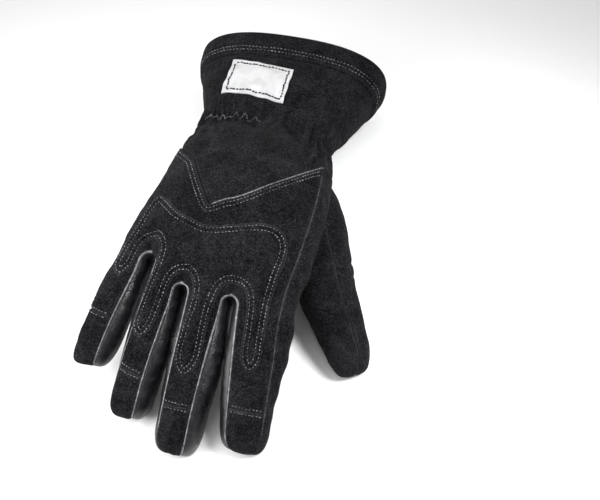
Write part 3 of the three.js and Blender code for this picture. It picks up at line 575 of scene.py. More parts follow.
def strip(i, u, r, palm=False):
    """A point on a strip of the back or palm, u from -1 to 1 between its seams and r from 0 at the yoke
    by 1 at the crotch to 2 at the tip: the hand's oval blended into an arch between the two seams."""
    t, sign = (u + 1) / 2, -1 if palm else 1
    angles = palm_angles if palm else back_angles
    low_p, low_q, low_n = seam(i, 0, r, palm)
    top_p, top_q, top_n = seam(i, 1, r, palm)
    q = lerp(low_q, top_q, t)
    hand_p, hand_n = section(lerp(angles[i], angles[i + 1], t), q)
    low_angle, top_angle = seam_angle(r, i, 0, palm), seam_angle(r, i, 1, palm)
    x, z = oval(lerp(180 - low_angle, top_angle, t))
    (low_x, low_z), (top_x, top_z) = oval(low_angle), oval(top_angle)
    part = (x + low_x) / (low_x + top_x)
    base, start = lerp(low_n, top_n, part), lerp(low_z, top_z, part)
    root = lerp(crotch_q[i], crotch_q[i + 1], t)
    finger = finger_at(i, q, (crotch_q[i] + crotch_q[i + 1]) / 2)
    hand_top = section(lerp(angles[i], angles[i + 1], 0.5), np.minimum(q, root))[1]
    top = lerp(hand_top, sign * finger["high"] + finger["lift"], ease((q - root) / ROOT_LENGTH))
    p = lerp(hand_p, lerp(low_p, top_p, part), blend_at(r))
    return p, q, lerp(hand_n, base + (top - base) * (z - start) / (1 - start), blend_at(r))


def rows_between(low, high, cap=1.7):
    """Rows about a millimetre apart, and closer where the skin turns fast, at a crotch and at a tip."""
    every = np.concatenate([
        np.linspace(0, 1, 96), 1 + 0.045 * np.linspace(0, 1, 12)[1:] ** 1.6,
        np.linspace(1.045, cap, 62)[1:], np.linspace(cap, 1.94, 24)[1:],
        2 - 0.06 * (1 - np.linspace(0, 1, 15)[1:]) ** 2,
    ])
    return every[(every >= low - 1e-9) & (every <= high + 1e-9)][:, None]


JOINTS = [(1.24, 0.55), (1.3, 0.4), (1.5, 0.7), (1.56, 0.6), (1.62, 0.35)]
CREASE_WIDTH, BACK_CREASES, PALM_CREASES = 0.011, 0.8, 1.3


def creases(i, u, r, palm=False):
    """Wrinkles across a finger: narrow bells along it at the joints, bent a little from side to side."""
    total = 0
    for number, (at, deep) in enumerate(JOINTS):
        bent = at + 0.02 * np.sin(3 * u + i * 1.7 + number * 2.1) + 0.006 * np.sin(9 * u + number)
        total = total - deep * bell(r, bent, CREASE_WIDTH) * (0.5 + 0.5 * np.sin(2 * u + i + number))
    return (PALM_CREASES if palm else BACK_CREASES) * total


back_rows = [rows_between(0, cap, cap) for cap in CAP_ROWS]
back_points = [strip(i, across[None], back_rows[i]) for i in range(4)]
back_grids = [(place(*point), False) for point in back_points]
back_relief = [creases(i, across[None], back_rows[i]) for i in range(4)]
back, back_face = sew(
    "back_leather", back_grids, leather_pair, lift=0.5, relief=back_relief, soft=0.42, turned=1.05, seed=11,
)
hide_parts("back_panel")


# Each fingertip is a separate suede cap on the back of the finger, joined to the panel by a seam across
# it and to the palm and the side strips round its edge.
tip_faces = []
for i, (name, *_) in enumerate(FINGERS):
    tip_rows = rows_between(CAP_ROWS[i], 2, CAP_ROWS[i])
    tip_point = strip(i, across[None], tip_rows)
    tip_relief = 0.6 * wobble(place(*tip_point), 8, 40 + i) * ease((tip_rows - CAP_ROWS[i]) / 0.1)
    tip, tip_face = sew(
        "fingertip_" + name, [(place(*tip_point), False)], leather_pair,
        lift=0.45, relief=[tip_relief], soft=0.3, roll=1.4, turned=0.85, seed=30 + i,
    )
    tip_faces.append(tip_face)
    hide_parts("tip_" + name)


# The thumb is sewn from two suede halves whose seams run along its top and its underside. It leaves the
# hand at the side of the palm, points forwards and rests its tip on the table.
THUMB_LENGTH, THUMB_WIDTH, THUMB_HEIGHT, THUMB_REST = 132.0, 42.0, 36.0, 0.235
THUMB_COLUMNS = 24
THUMB_SEAMS = (5, 18)
THUMB_RINGS = [
    (0, 0, 0, 0, 0.32, 0.33), (0.14, 0.045, 0.11, 0.1, 0.45, 0.46), (0.3, 0.098, 0.245, 0.236, 0.52, 0.52),
    (0.46, 0.16, 0.38, 0.392, 0.51, 0.5), (0.62, 0.232, 0.515, 0.578, 0.45, 0.46),
    (0.76, 0.305, 0.64, 0.75, 0.39, 0.41), (0.88, 0.375, 0.75, 0.905, 0.335, 0.365),
    (0.95, 0.417, 0.817, 0.963, 0.29, 0.33), (0.985, 0.442, 0.863, 0.99, 0.22, 0.25),
    (1, 0.457, 0.888, 1, 0.14, 0.1),
]
THUMB_CREASES = [(0.8, 0.53, 0.03, 2, 0.012), (0.7, 0.6, 0.02, 3, 0.012)]
LAST_RING, NO_LENGTH, BURIED, PROBES = 0.985, 0.02, 1.2, 60
thumb_root = place(0.321 * PALM_WIDTH, along(1.208), -0.1 * PALM_HEIGHT, pressed=False) + CENTRE
ring_at = [row[0] for row in THUMB_RINGS]
thumb_x = curve(ring_at, [thumb_root[0] + row[1] * THUMB_LENGTH for row in THUMB_RINGS])
thumb_y = curve(ring_at, [thumb_root[1] - row[2] * THUMB_LENGTH for row in THUMB_RINGS])
thumb_z = curve(ring_at, [lerp(thumb_root[2], THUMB_REST * THUMB_HEIGHT, row[3]) for row in THUMB_RINGS])
thumb_wide = curve(ring_at, [row[4] * THUMB_WIDTH for row in THUMB_RINGS])
thumb_high = curve(ring_at, [row[5] * THUMB_HEIGHT for row in THUMB_RINGS])


def thumb_middle(s):
    """The thumb's middle line at a share of its length."""
    return np.stack([thumb_x(s), thumb_y(s), thumb_z(s)], -1)


def thumb_skin(s, angle, out=0.0):
    """A point round the thumb: a blunt oval in the plane square to its middle line, closed at the tip
    and pressed flat where it meets the table."""
    ahead = thumb_middle(s + NO_LENGTH) - thumb_middle(s - NO_LENGTH)
    ahead /= np.linalg.norm(ahead, axis=-1)[..., None]
    side = np.cross([0, 0, 1], ahead)
    side /= np.linalg.norm(side, axis=-1)[..., None]
    up = np.cross(ahead, side)
    x, z = oval(angle)
    closed = np.sqrt(np.clip(1 - np.clip((s - LAST_RING) / (1 - LAST_RING), 0, 1) ** 2, 0, 1))
    wide, high = (thumb_wide(s) + out) * closed, (thumb_high(s) + out) * closed
    at = thumb_middle(s) + side * (x * wide)[..., None] + up * (z * high)[..., None]
    at[..., 2] = pressed_flat(at[..., 2])
    return at - CENTRE


def outside_of(tree, points):
    """How far outside a closed face each point lies, in millimetres, below nothing where it is inside."""
    found = []
    for point in (points / 1000).tolist():
        spot, normal, _, gap = tree.find_nearest(point)
        found.append(gap if (Vector(point) - spot).dot(normal) > 0 else -gap)
    return np.array(found) * 1000


def face_tree(grids):
    """A tree of plain grids, to measure from."""
    points, quads = quads_of(grids)
    return BVHTree.FromPolygons((points / 1000).tolist(), quads.tolist())


def side_wall(i, side, v, r):
    """A point on the strip between the back's and the palm's seams, v from 0 to 1: it bulges sideways on
    a finger, and turns round the crotch to face the fingertips."""
    k = i + side
    back_p, back_q, back_n = seam(i, side, r, False)
    palm_p, palm_q, palm_n = seam(i, side, r, True)
    gusset = k == 4
    top, bottom = seam_angle(r, i, side), seam_angle(r, i, side, True)
    if gusset:
        top, bottom = lerp(GUSSET_BACK, top, blend_at(r)), lerp(GUSSET_PALM, bottom, blend_at(r))
    x, z = oval(lerp(top, -bottom, v))
    (top_x, top_z), (bottom_x, bottom_z) = oval(top), oval(bottom)
    deep = np.where(v <= 0.5, top_z, bottom_z)
    part = np.where(np.maximum(top_z, bottom_z) < 1e-3, v, 0.5 * (1 - z / np.maximum(deep, 1e-9)))
    finger = finger_at(i, back_q, crotch_q[k])
    hand_half = (left_at(back_q) + right_at(back_q)) / 2
    start = lerp(top_x, bottom_x, v)
    on_hand = hand_half * (1 - oval(GUSSET_BACK)[0])
    on_finger = finger["gusset"] * (1 - start) / (1 - seam_share)
    reach = lerp(on_hand, on_finger, ease((back_q - knuckles) / ROOT_LENGTH))
    hump = np.sin(np.pi * np.clip((back_q - crotch_q[k]) / FULL_LENGTH, 0, 1)) ** 2
    fuller = LINES[k][4] * FULLER_SIDES[side] * FINGER_SIZE * hump / (1 - seam_share)
    swollen = reach / np.maximum(1 - start, 1e-3) if gusset else finger["bulge"] + fuller
    out = swollen * np.clip(x - start, 0, 1)
    far = np.clip((back_q - crotch_q[k]) / CROTCH, 0, 1)
    turned = np.pi / 2 if gusset else np.arccos(1 - far)
    swell = out if gusset else lerp(CROTCH * 0.3 * (1 - (2 * v - 1) ** 2), out, np.sin(turned))
    p = lerp(back_p, palm_p, part) + (-1 if side == 0 else 1) * swell * np.sin(turned)
    return p, lerp(back_q, palm_q, part) + swell * np.cos(turned), lerp(back_n, palm_n, part)


down_wall = np.linspace(0, 1, 31)[None]
gusset_rows = rows_between(0, 2)
gusset_point = side_wall(3, 1, down_wall, gusset_rows)
gusset_grid = (place(*gusset_point), False)
palm_rows = rows_between(0, 2)
palm_points = [strip(i, across[None], palm_rows, True) for i in range(4)]
palm_grids = [(place(*point), True) for point in palm_points]
hand_tree = face_tree([*palm_grids, *back_grids, gusset_grid, (cuff_grid, False)])

around = np.linspace(0, 360, 97)
starts = np.linspace(0, 0.5, PROBES)
probes = thumb_skin(starts[:, None], around[None, :-1])
buried = outside_of(hand_tree, probes.reshape(-1, 3)).reshape(probes.shape[:2]) < -BURIED
leaves = starts[PROBES - 1 - np.argmax(buried[::-1], axis=0)]
leaves = np.convolve(np.concatenate([leaves[-4:], leaves, leaves[:4]]), np.ones(9) / 9, "valid")
leaves = np.append(leaves, leaves[0])
thumb_rows = 1 - (1 - np.linspace(0, 1, 118)) ** 1.25
top_seam, low_seam = (360 * k / THUMB_COLUMNS for k in THUMB_SEAMS)
halves = [("thumb_inner", top_seam, low_seam), ("thumb_outer", low_seam, top_seam + 360)]
for half_name, low, high in halves:
    angle = np.linspace(low, high, 52)
    s = lerp(np.interp(np.mod(angle, 360), around, leaves)[None], 1, thumb_rows[:, None])
    angle = np.broadcast_to(angle[None], s.shape)
    skin = thumb_skin(s, angle)
    folds = sum(
        -deep * bell(s, at + sway * np.sin(np.radians(angle) * waves), wide)
        for deep, at, sway, waves, wide in THUMB_CREASES
    )
    half_piece, _ = sew(
        half_name + "_leather", [(skin, True)], leather_pair,
        lift=0.2, relief=[folds], soft=0.5, roll=1.7, turned=1.4, seed=50,
    )
    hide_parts(half_name)


# The palm is one suede panel from the wrist's seam to the fingertips, with a hole on its thumb side
# where the thumb is sewn in. It lies on the table under the hand and is pressed flat there.
thumb_inside = face_tree([(thumb_skin(np.linspace(0, 1, 90)[:, None], around[None], out=-WALL), True)])


def in_thumb(points):
    """True for points inside the thumb's hollow."""
    low = thumb_skin(np.linspace(0, 1, 30)[:, None], around[None]).reshape(-1, 3).min(0)
    close = (points[:, 0] > low[0] - 2) & (points[:, 1] > low[1] - 2)
    inside = np.zeros(len(points), bool)
    inside[close] = outside_of(thumb_inside, points[close]) < 0
    return inside


palm_relief = [creases(i, across[None], palm_rows, True) for i in range(4)]
palm, palm_face = sew(
    "palm_leather", palm_grids, leather_pair, lift=0.2, relief=palm_relief, soft=0.4, cut=in_thumb, seed=17,
)
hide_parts("palm_panel")


# The side gusset is a long suede strip between back and palm on the thumb's side, from the wrist past
# the thumb to the tip of the index finger.
gusset_relief = 0.6 * wobble(gusset_grid[0], 14, 23) * ease((gusset_rows - 0.1) / 0.3)
gusset, gusset_face = sew(
    "side_gusset_leather", [gusset_grid], leather_pair,
    lift=0.4, relief=[gusset_relief], soft=0.45, roll=1.5, turned=1.05, cut=in_thumb, seed=19,
)
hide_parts("side_gusset")


# The strips between the fingers are smooth, shiny grain leather, one strip running down a finger, round
# the crotch and up the next. They are fuller than the gap, so they wrinkle across.
grain, given, out = new_group("grain leather", Seam=0.0)
cells = add(grain, "TexVoronoi", Vector=given["Vector"], Scale=1300.0, Randomness=1.0).outputs["Distance"]
wrinkles = noise(grain, given["Vector"], 260.0, 4.0, 0.6, 0.8)
dull = noise(grain, given["Vector"], 70.0, 3.0, 0.5)
# Paler with the wrinkles' noise, and a painted highlight that makes it paler near each edge.
wrinkle_tone_and_seam_sheen = weighed(grain, (ranged(grain, wrinkles, 0.45, 0.8), 1.0), (given["Seam"], 0.6))
grain.links.new(mixed(grain, wrinkle_tone_and_seam_sheen, given["Dark"], given["Light"]), out["Color"])
grain.links.new(weighed(grain, (cells, 0.3), (wrinkles, 1.0)), out["Height"])
grain.links.new(ranged(grain, dull, 0.3, 0.7, 0.25, 0.42), out["Roughness"])
smooth_leather = finish_of(
    "smooth black leather", grain, (0.003, 0.003, 0.004), (0.02, 0.02, 0.023), 0.0005,
    strength=0.7, Specular_IOR_Level=0.4,
)
wall_rows = rows_between(1, 2)
gap_names = ["little_ring", "ring_middle", "middle_index"]
ROLLED_EDGE = (1.15, 0.2)
for k, gap_name in enumerate(gap_names, start=1):
    grids, relief = [], []
    for i, side in ((k - 1, 1), (k, 0)):
        point = side_wall(i, side, down_wall, wall_rows)
        grids.append((place(*point), side == 0))
        free = np.sin(np.pi * down_wall) ** 0.7
        ripples = np.sin(point[1] / 2.1 + 3 * np.sin(point[1] / 9 + i) + 2 * down_wall)
        swells = 0.13 * ripples + 0.22 * wobble(grids[-1][0], 19, 60 + i * 2 + side) + 0.12
        rolled = bell(down_wall, 0.2, 0.15) * ease((1.8 - wall_rows) / 0.35)
        swells = swells + ROLLED_EDGE[side] * rolled
        relief.append(free * swells * ease((wall_rows - 1.02) / 0.08) * ease((2 - wall_rows) / 0.1))
    strip_piece, _ = sew(
        "forchette_" + gap_name + "_leather", grids, [smooth_leather, lining],
        lift=0.1, relief=relief, soft=0.15, roll=1.2, turned=1.0, seed=70 + k,
    )
    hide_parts("forchette_" + gap_name)


# A welt of the same smooth leather is rolled into the seam round each crotch and on along the two
# fingers, thinner towards their tips. Its colour is painted pale as a highlight, which draws a bright
# line of shine beside the suede.
WELT_RADIUS, WELT_LIFT = 0.95, 0.1
WELT_ENDS = [(1.985, 1.72), (1.985, 1.86), (1.985, 1.97)]
# Painted highlight: the welt's leather is coloured many times paler than the strips, for the shine on its
# rolled edge.
welt_highlight_leather = finish_of(
    "smooth leather welt painted pale as highlight", grain, (0.05, 0.05, 0.055), (0.3, 0.3, 0.31), 0.0003,
    strength=0.5, Specular_IOR_Level=0.8,
)


def tube(points, normals, radius, sides=8):
    """A round cord carried along a line, its ends drawn to a point: at each point a circle in the plane
    square to the line, whose radius eases to nothing over the first and last few points. The radius is
    one number, or one at each point."""
    ahead = np.gradient(points, axis=0)
    ahead /= np.linalg.norm(ahead, axis=1)[:, None]
    side = np.cross(ahead, normals)
    side /= np.linalg.norm(side, axis=1)[:, None]
    up = np.cross(side, ahead)
    turn = np.linspace(0, 2 * np.pi, sides, endpoint=False)
    step = np.arange(len(points))
    thick = np.maximum(radius * quarter(np.minimum(step, step[::-1]) / 5), 0.02)[:, None, None]
    circle = side[:, None] * np.cos(turn)[:, None] + up[:, None] * np.sin(turn)[:, None]
    ringed = points[:, None] + thick * circle
    ringed[..., 2] = np.maximum(ringed[..., 2], 0)
    k = np.arange(len(points) * sides).reshape(len(points), sides)
    a, b = k[:-1], np.roll(k, -1, 1)[:-1]
    d, c = k[1:], np.roll(k, -1, 1)[1:]
    faces = np.concatenate([np.stack([a, b, c], -1).reshape(-1, 3), np.stack([a, c, d], -1).reshape(-1, 3)])
    caps = np.array([[0, j + 1, j] for j in range(1, sides - 1)])
    last = k[-1, 0] + np.array([[0, j, j + 1] for j in range(1, sides - 1)])
    return ringed.reshape(-1, 3), np.concatenate([faces, caps, last])


def cord_piece(name, tubes, material):
    """One piece from some tubes, each given as its points and its faces."""
    starts = np.cumsum([0, *(len(points) for points, _ in tubes[:-1])])
    every = np.concatenate([faces + first for (_, faces), first in zip(tubes, starts)])
    return make_piece(name, np.concatenate([points for points, _ in tubes]), every, [material])


def welt_line(k, palm):
    """The seam from one finger round the crotch to the next, and the way out of the skin there."""
    ends = (1.97, 1.97) if palm else WELT_ENDS[k - 1]
    down, up = (1 + (end - 1) * np.linspace(1, 0, 140) ** 1.4 for end in ends)
    left, right = seam(k - 1, 1, down, palm), seam(k, 0, up[::-1][1:], palm)
    line = place(*(np.concatenate([a, b]) for a, b in zip(left, right)))
    out = np.zeros_like(line)
    out[:, 2] = -1 if palm else 1
    return line, out


for k, gap_name in enumerate(gap_names, start=1):
    parts = []
    for palm_side in (False, True):
        line, out_way = welt_line(k, palm_side)
        steps = lengths(line)
        even = np.linspace(0, steps[-1], int(steps[-1]))
        line, out_way = at_lengths(even, steps, line), at_lengths(even, steps, out_way)
        from_crotch = np.abs(np.linspace(-1, 1, len(line)))
        radius = WELT_RADIUS * lerp(1, 0.5, ease(from_crotch * 1.8))
        parts.append(tube(line + out_way * WELT_LIFT, out_way, radius))
    welt = cord_piece("welt_" + gap_name, parts, welt_highlight_leather)


# The guard over the knuckles is a second layer of suede with a thin pad under it. It reaches down each
# finger in a tongue, arches over each crotch, and is held by two rows of stitches round its edge.
GUARD_LINE = [
    (-40.0, 165.1), (-26.9, 174.3), (-16.6, 178.5), (-7.9, 181.0), (-1, 181.0), (8.2, 179.0), (18.3, 176.0),
    (29.5, 173.2), (37.8, 174.3), (43.0, 179.8), (44.0, 187.2), (42.2, 200.0), (41.4, 214.8), (42.3, 232.4),
    (42.9, 246.0), (38.4, 251.2), (34.0, 244.5), (32.6, 228.3), (30.6, 214.4), (26.0, 207.4), (18.2, 205.4),
    (11.8, 209.7), (8.9, 221.2), (8.2, 236.0), (8.0, 253.0), (2.2, 260.5), (-3.8, 253.5), (-3.9, 237.3),
    (-1.6, 220.0), (-3.6, 210.0), (-10.6, 204.4), (-18.0, 209.2), (-21.0, 223.0), (-23.6, 238.0),
    (-28.6, 245.0), (-33.8, 238.5), (-32.0, 222.0), (-28.2, 204.7), (-28.6, 194.0), (-35.6, 187.6),
    (-43.2, 192.6), (-46.4, 206.0), (-50.6, 212.6), (-55.0, 207.3), (-52.4, 194.0), (-48.6, 181.0),
    (-45.2, 171.0),
]
# The first is the width of the painted highlight along a laid layer's edge, the second how far it sinks.
LAYER_SHEEN_BAND, LAYER_SUNK = 1.2, 0.15


def smooth_loop(points, pitch):
    """A closed line through the points, each span a cubic whose slopes are its neighbours' chords, with
    points a pitch apart."""
    points = np.array(points, float)
    t = np.linspace(0, 1, 24, endpoint=False)[:, None]
    before, after, beyond = np.roll(points, 1, 0), np.roll(points, -1, 0), np.roll(points, -2, 0)
    spans = [
        0.5 * (2 * b + (c - a) * t + (2 * a - 5 * b + 4 * c - d) * t**2 + (3 * b - a - 3 * c + d) * t**3)
        for a, b, c, d in zip(before, points, after, beyond)
    ]
    line = np.concatenate([*spans, points[:1]])
    steps = lengths(line)
    return at_lengths(np.linspace(0, steps[-1], int(steps[-1] / pitch), endpoint=False), steps, line)


def moved(loop, distance):
    """A closed line moved inwards by a distance, without the points that come too near the line. The
    sign of the area inside it tells on which hand of the line the inside lies."""
    beyond = np.roll(loop, -1, 0)
    inwards = -np.sign(np.sum(loop[:, 0] * beyond[:, 1] - beyond[:, 0] * loop[:, 1]))
    ahead = beyond - np.roll(loop, 1, 0)
    ahead /= np.linalg.norm(ahead, axis=1)[:, None]
    shifted = loop + inwards * distance * np.stack([ahead[:, 1], -ahead[:, 0]], -1)
    return shifted[nearest_of(shifted, loop) > abs(distance) * 0.93]


def inside_loop(points, loop):
    """True for points inside a closed line: a ray to the right crosses it an odd number of times."""
    a, b = loop, np.roll(loop, -1, 0)
    x, y = points[:, :1], points[:, 1:]
    crosses = (a[:, 1] > y) != (b[:, 1] > y)
    where = a[:, 0] + (y - a[:, 1]) / (b[:, 1] - a[:, 1] + 1e-12) * (b[:, 0] - a[:, 0])
    return (crosses & (x < where)).sum(1) % 2 == 1


def cast(trees, p, q, palm=False):
    """The places where lines square to the spine at p and q meet the outermost of some faces, and the
    faces' normals there, in millimetres."""
    sign = -1 if palm else 1
    start = place(p, q, sign * 60.0, pressed=False) / 1000
    aim = start - place(p, q, sign * 61.0, pressed=False) / 1000
    spots, ways, met = [], [], []
    for origin, way in zip(start.tolist(), aim.tolist()):
        hits = [hit for hit in (tree.ray_cast(origin, way) for tree in trees) if hit[0] is not None]
        best = min(hits, key=lambda hit: hit[3]) if hits else None
        met.append(best is not None)
        spots.append(best[0] if best else origin)
        ways.append(best[1] if best else way)
    return np.array(spots) * 1000, np.array(ways), np.array(met)


def laid(name, loop, trees, profile, materials, pitch=1.15, palm=False):
    """A layer of leather laid on other pieces: the outline in the pattern filled with triangles, dropped
    on to the faces below and thickened by a profile of the distance to its edge."""
    low, high = loop.min(0), loop.max(0)
    columns, lines = (np.arange(low[c], high[c], pitch) for c in range(2))
    grid = np.stack(np.meshgrid(columns, lines), -1).reshape(-1, 2)
    grid[:, 0] += np.where(np.round(grid[:, 1] / pitch).astype(int) % 2, pitch / 2, 0)
    grid = grid[inside_loop(grid, loop)]
    grid = grid[nearest_of(grid, loop) > 0.6 * pitch]
    flat = np.concatenate([loop, grid])
    ends = [(j, (j + 1) % len(loop)) for j in range(len(loop))]
    filled = delaunay_2d_cdt([Vector(v) for v in flat.tolist()], ends, [], 1, 1e-5)
    flat = np.array([tuple(v) for v in filled[0]])
    triangles = np.array(filled[2])
    if palm:
        triangles = triangles[:, ::-1]
    spots, _, met = cast(trees, flat[:, 0], flat[:, 1], palm)
    triangles = triangles[met[triangles].all(1)]
    used, small = np.unique(triangles, return_inverse=True)
    triangles, flat, spots = small.reshape(-1, 3), flat[used], spots[used]
    a, b, c = spots[triangles].transpose(1, 0, 2)
    if (np.cross(b - a, c - a)[:, 2].sum() < 0) != palm:
        triangles = triangles[:, ::-1]
    normals = outward(spots, triangles, 3)
    near = nearest_of(flat, loop)
    top, under = spots + normals * profile(near, spots)[:, None], spots - normals * LAYER_SUNK
    top[:, 2] = np.maximum(top[:, 2], 0)
    rim = rim_of(triangles, len(spots))
    # The last mark, highest at the edge, is where the materials paint a highlight.
    return walled(name, top, under, triangles, rim, bell(near, 0, LAYER_SHEEN_BAND), materials)


ROW_OUT, ROW_IN, GROOVE_WIDTH = 1.7, 4.2, 0.75
GUARD_EDGE, GUARD_PAD, PAD_SLOPE = 0.85, 1.6, 7


def guard_height(near, spots):
    """The guard's thickness: a rounded edge, a groove under each row of stitches, and between them and
    inside them the padding's swell."""
    edge = GUARD_EDGE * quarter(near / 1.1) + 0.2
    swell = GUARD_PAD * ease((near - ROW_IN) / PAD_SLOPE) + 0.3 * wobble(spots, 15, 81) * ease((near - 5) / 5)
    grooves = 0.55 * bell(near, ROW_OUT, GROOVE_WIDTH) + 0.6 * bell(near, ROW_IN, GROOVE_WIDTH)
    return edge + swell - grooves * ease(near / 1.2)


guard_rows = smooth_loop(GUARD_LINE, 0.8)
guard_edge = smooth_loop(moved(guard_rows, -ROW_OUT)[::2], 0.8)
guard, guard_face = laid("knuckle_guard_pad", guard_edge, [back_face], guard_height, leather_pair)
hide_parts("knuckle_guard")


# A second layer of suede reinforces the palm below the fingers. Its lower edge is scalloped round the
# finger roots, and it is sewn down all round.
PATCH_LINE = [
    (-47, 158), (-30, 152), (-6, 149), (20, 152), (33, 163), (40, 178), (45, 194), (44, 205), (34, 207),
    (25, 203), (17, 203), (8, 206), (0, 205), (-9, 202), (-18, 202), (-26, 198), (-33, 191), (-42, 191),
    (-50, 186), (-52, 172),
]
PATCH_EDGE = 1.1


def patch_height(near, spots):
    """The patch's thickness: a rounded edge with a groove under its row of stitches."""
    edge = PATCH_EDGE * quarter(near) + 0.25
    return edge - 0.35 * bell(near, ROW_OUT, 0.7) + 0.15 * wobble(spots, 14, 91)


patch_edge = smooth_loop(PATCH_LINE, 1.0)
patch, patch_face = laid(
    "palm_patch_leather", patch_edge, [palm_face], patch_height, leather_pair, 1.4, palm=True,
)
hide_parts("palm_patch")


# The label is a small white woven cloth, turned a little on the cuff and sewn down by a dark thread
# that runs round it inside its edge. It is bare.
weave, given, out = new_group("plain weave")
warp = add(weave, "TexWave", {"bands_direction": "X"}, Vector=given["Vector"], Scale=420.0, Distortion=0.6)
weft = add(weave, "TexWave", {"bands_direction": "Y"}, Vector=given["Vector"], Scale=420.0, Distortion=0.6)
threads = maths(weave, "MULTIPLY", warp.outputs["Fac"], weft.outputs["Fac"])
soiled = noise(weave, given["Vector"], 120.0, 4.0)
light_share = weighed(weave, (threads, 0.4), (ranged(weave, soiled, 0.3, 0.6, 0.2, 0.6), 1.0))
weave.links.new(mixed(weave, light_share, given["Dark"], given["Light"]), out["Color"])
weave.links.new(threads, out["Height"])
weave.links.new(ranged(weave, soiled, 0.3, 0.7, 0.7, 0.85), out["Roughness"])
label_cloth = finish_of(
    "white label cloth", weave, (0.32, 0.32, 0.325), (0.68, 0.68, 0.69), 0.0002, Sheen_Weight=0.1,
)
LABEL_SIZE = (45.0, 31.0)
LABEL_AT = (-0.07 * RIM_WIDTH, 0.6 * CUFF)
LABEL_TURN, LABEL_SKEW = np.radians(6.3), 0.09
LABEL_THICK, LABEL_ROW, LABEL_WAVER = 0.75, 2.6, 0.22


def label_loop(inset, pitch):
    """A rectangle inset from the label's edge, as a closed line in the pattern, with small wavers."""
    half_x, half_y = LABEL_SIZE[0] / 2 - inset, LABEL_SIZE[1] / 2 - inset
    ends = np.array([(-half_x, -half_y), (half_x, -half_y), (half_x, half_y), (-half_x, half_y)])
    line = np.concatenate([
        np.linspace(a, b, int(np.linalg.norm(b - a) / pitch), endpoint=False)
        for a, b in zip(ends, np.roll(ends, -1, 0))
    ])
    line = line + LABEL_WAVER * np.stack([np.sin(line[:, 1] / 1.9 + inset), np.sin(line[:, 0] / 2.3)], -1)
    x, y = line[:, 0] + LABEL_SKEW * line[:, 1], line[:, 1]
    c, s = np.cos(LABEL_TURN), np.sin(LABEL_TURN)
    return np.stack([LABEL_AT[0] + x * c - y * s, LABEL_AT[1] + x * s + y * c], -1)


def label_height(near, spots):
    """The label's thickness, drawn down a little at its thread and curling up at its edge."""
    return LABEL_THICK + 0.12 * bell(near, 0, 0.8) - 0.25 * bell(near, LABEL_ROW, 0.6)


label, label_face = laid(
    "label_cloth", label_loop(0, 0.8), [cuff_face], label_height, [label_cloth], 0.9,
)
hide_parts("label")


# Every seam is sewn with a thick thread. It is pale grey on the suede and dark on the label, and each
# stitch is a short bar that dips into the leather at both ends.
twine, given, out = new_group("twisted thread")
twist = noise(twine, given["Vector"], 2600.0, 2.0)
worn_parts, soiled_parts = noise(twine, given["Vector"], 90.0, 2.0), noise(twine, given["Vector"], 420.0, 1.0)
uneven = ranged(twine, maths(twine, "MULTIPLY", worn_parts, soiled_parts), 0.17, 0.4, -0.1, 0.85)
thread_share = weighed(twine, (twist, 0.25), (uneven, 1.0))
twine.links.new(mixed(twine, thread_share, given["Dark"], given["Light"]), out["Color"])
twine.links.new(twist, out["Height"])
twine.links.new(ranged(twine, twist, 0.3, 0.7, 0.8, 0.6), out["Roughness"])
grey_thread = finish_of(
    "grey thread", twine, (0.03, 0.03, 0.034), (0.32, 0.32, 0.335), 0.0002, Sheen_Weight=0.05,
)
dark_thread = finish_of(
    "dark thread", twine, (0.004, 0.004, 0.005), (0.03, 0.03, 0.035), 0.0002, Sheen_Weight=0.03,
)
BAR_AT = np.array([-0.5, -0.34, 0, 0.34, 0.5])
BAR_THICK = np.array([0, 0.85, 1, 0.85, 0])
BAR_HIGH = np.array([-0.35, 0.05, 0.3, 0.05, -0.35])


def stitches(name, lines, material, pitch=2.15, long=1.5, thick=0.22, seed=7):
    """Rows of stitches on surface lines, each with its points and normals. A bar is five stations along
    the line, the first and last of them points and the others hexagons, arched out of the leather. No
    two bars are quite alike in place, length and depth."""
    turn = np.radians([0, 60, 120, 180, 240, 300])
    bars, draw = [], np.random.default_rng(seed)
    for points, normals in lines:
        steps = lengths(points)
        middles = np.arange(pitch / 2, steps[-1] - long / 2, pitch)
        middles = middles + draw.uniform(-0.12, 0.12, len(middles)) * pitch
        at = middles[:, None] + BAR_AT * long * draw.uniform(0.7, 1.1, (len(middles), 1))
        spot, out_way = at_lengths(at, steps, points), at_lengths(at, steps, normals)
        out_way /= np.linalg.norm(out_way, axis=-1)[..., None]
        ahead = spot[:, -1:] - spot[:, :1]
        side = np.cross(ahead, out_way)
        side /= np.linalg.norm(side, axis=-1)[..., None] + 1e-9
        sunk = draw.uniform(-0.7, 0.0, (len(middles), 1)) + BAR_HIGH / 0.34
        aside = draw.uniform(-0.5, 0.5, (len(middles), 1, 1))
        centre = spot + thick * (out_way * sunk[..., None] + side * aside)
        ringed = side[:, :, None] * np.cos(turn)[:, None] + out_way[:, :, None] * np.sin(turn)[:, None]
        bar = centre[:, :, None] + ringed * (thick * BAR_THICK)[:, None, None]
        middle_rings = bar[:, 1:4].reshape(len(bar), 18, 3)
        bars.append(np.concatenate([middle_rings, centre[:, :1], centre[:, -1:]], 1))
    bars = np.concatenate(bars)
    bars[..., 2] = np.maximum(bars[..., 2], 0)
    faces = []
    for ring in range(2):
        for j in range(6):
            a, b = ring * 6 + j, ring * 6 + (j + 1) % 6
            faces += [(a, a + 6, b + 6), (a, b + 6, b)]
    for j in range(6):
        faces += [(18, j, (j + 1) % 6), (19, 12 + (j + 1) % 6, 12 + j)]
    faces = np.array(faces)
    every = (faces[None] + 20 * np.arange(len(bars))[:, None, None]).reshape(-1, 3)
    return make_piece(name, bars.reshape(-1, 3), every, [material])


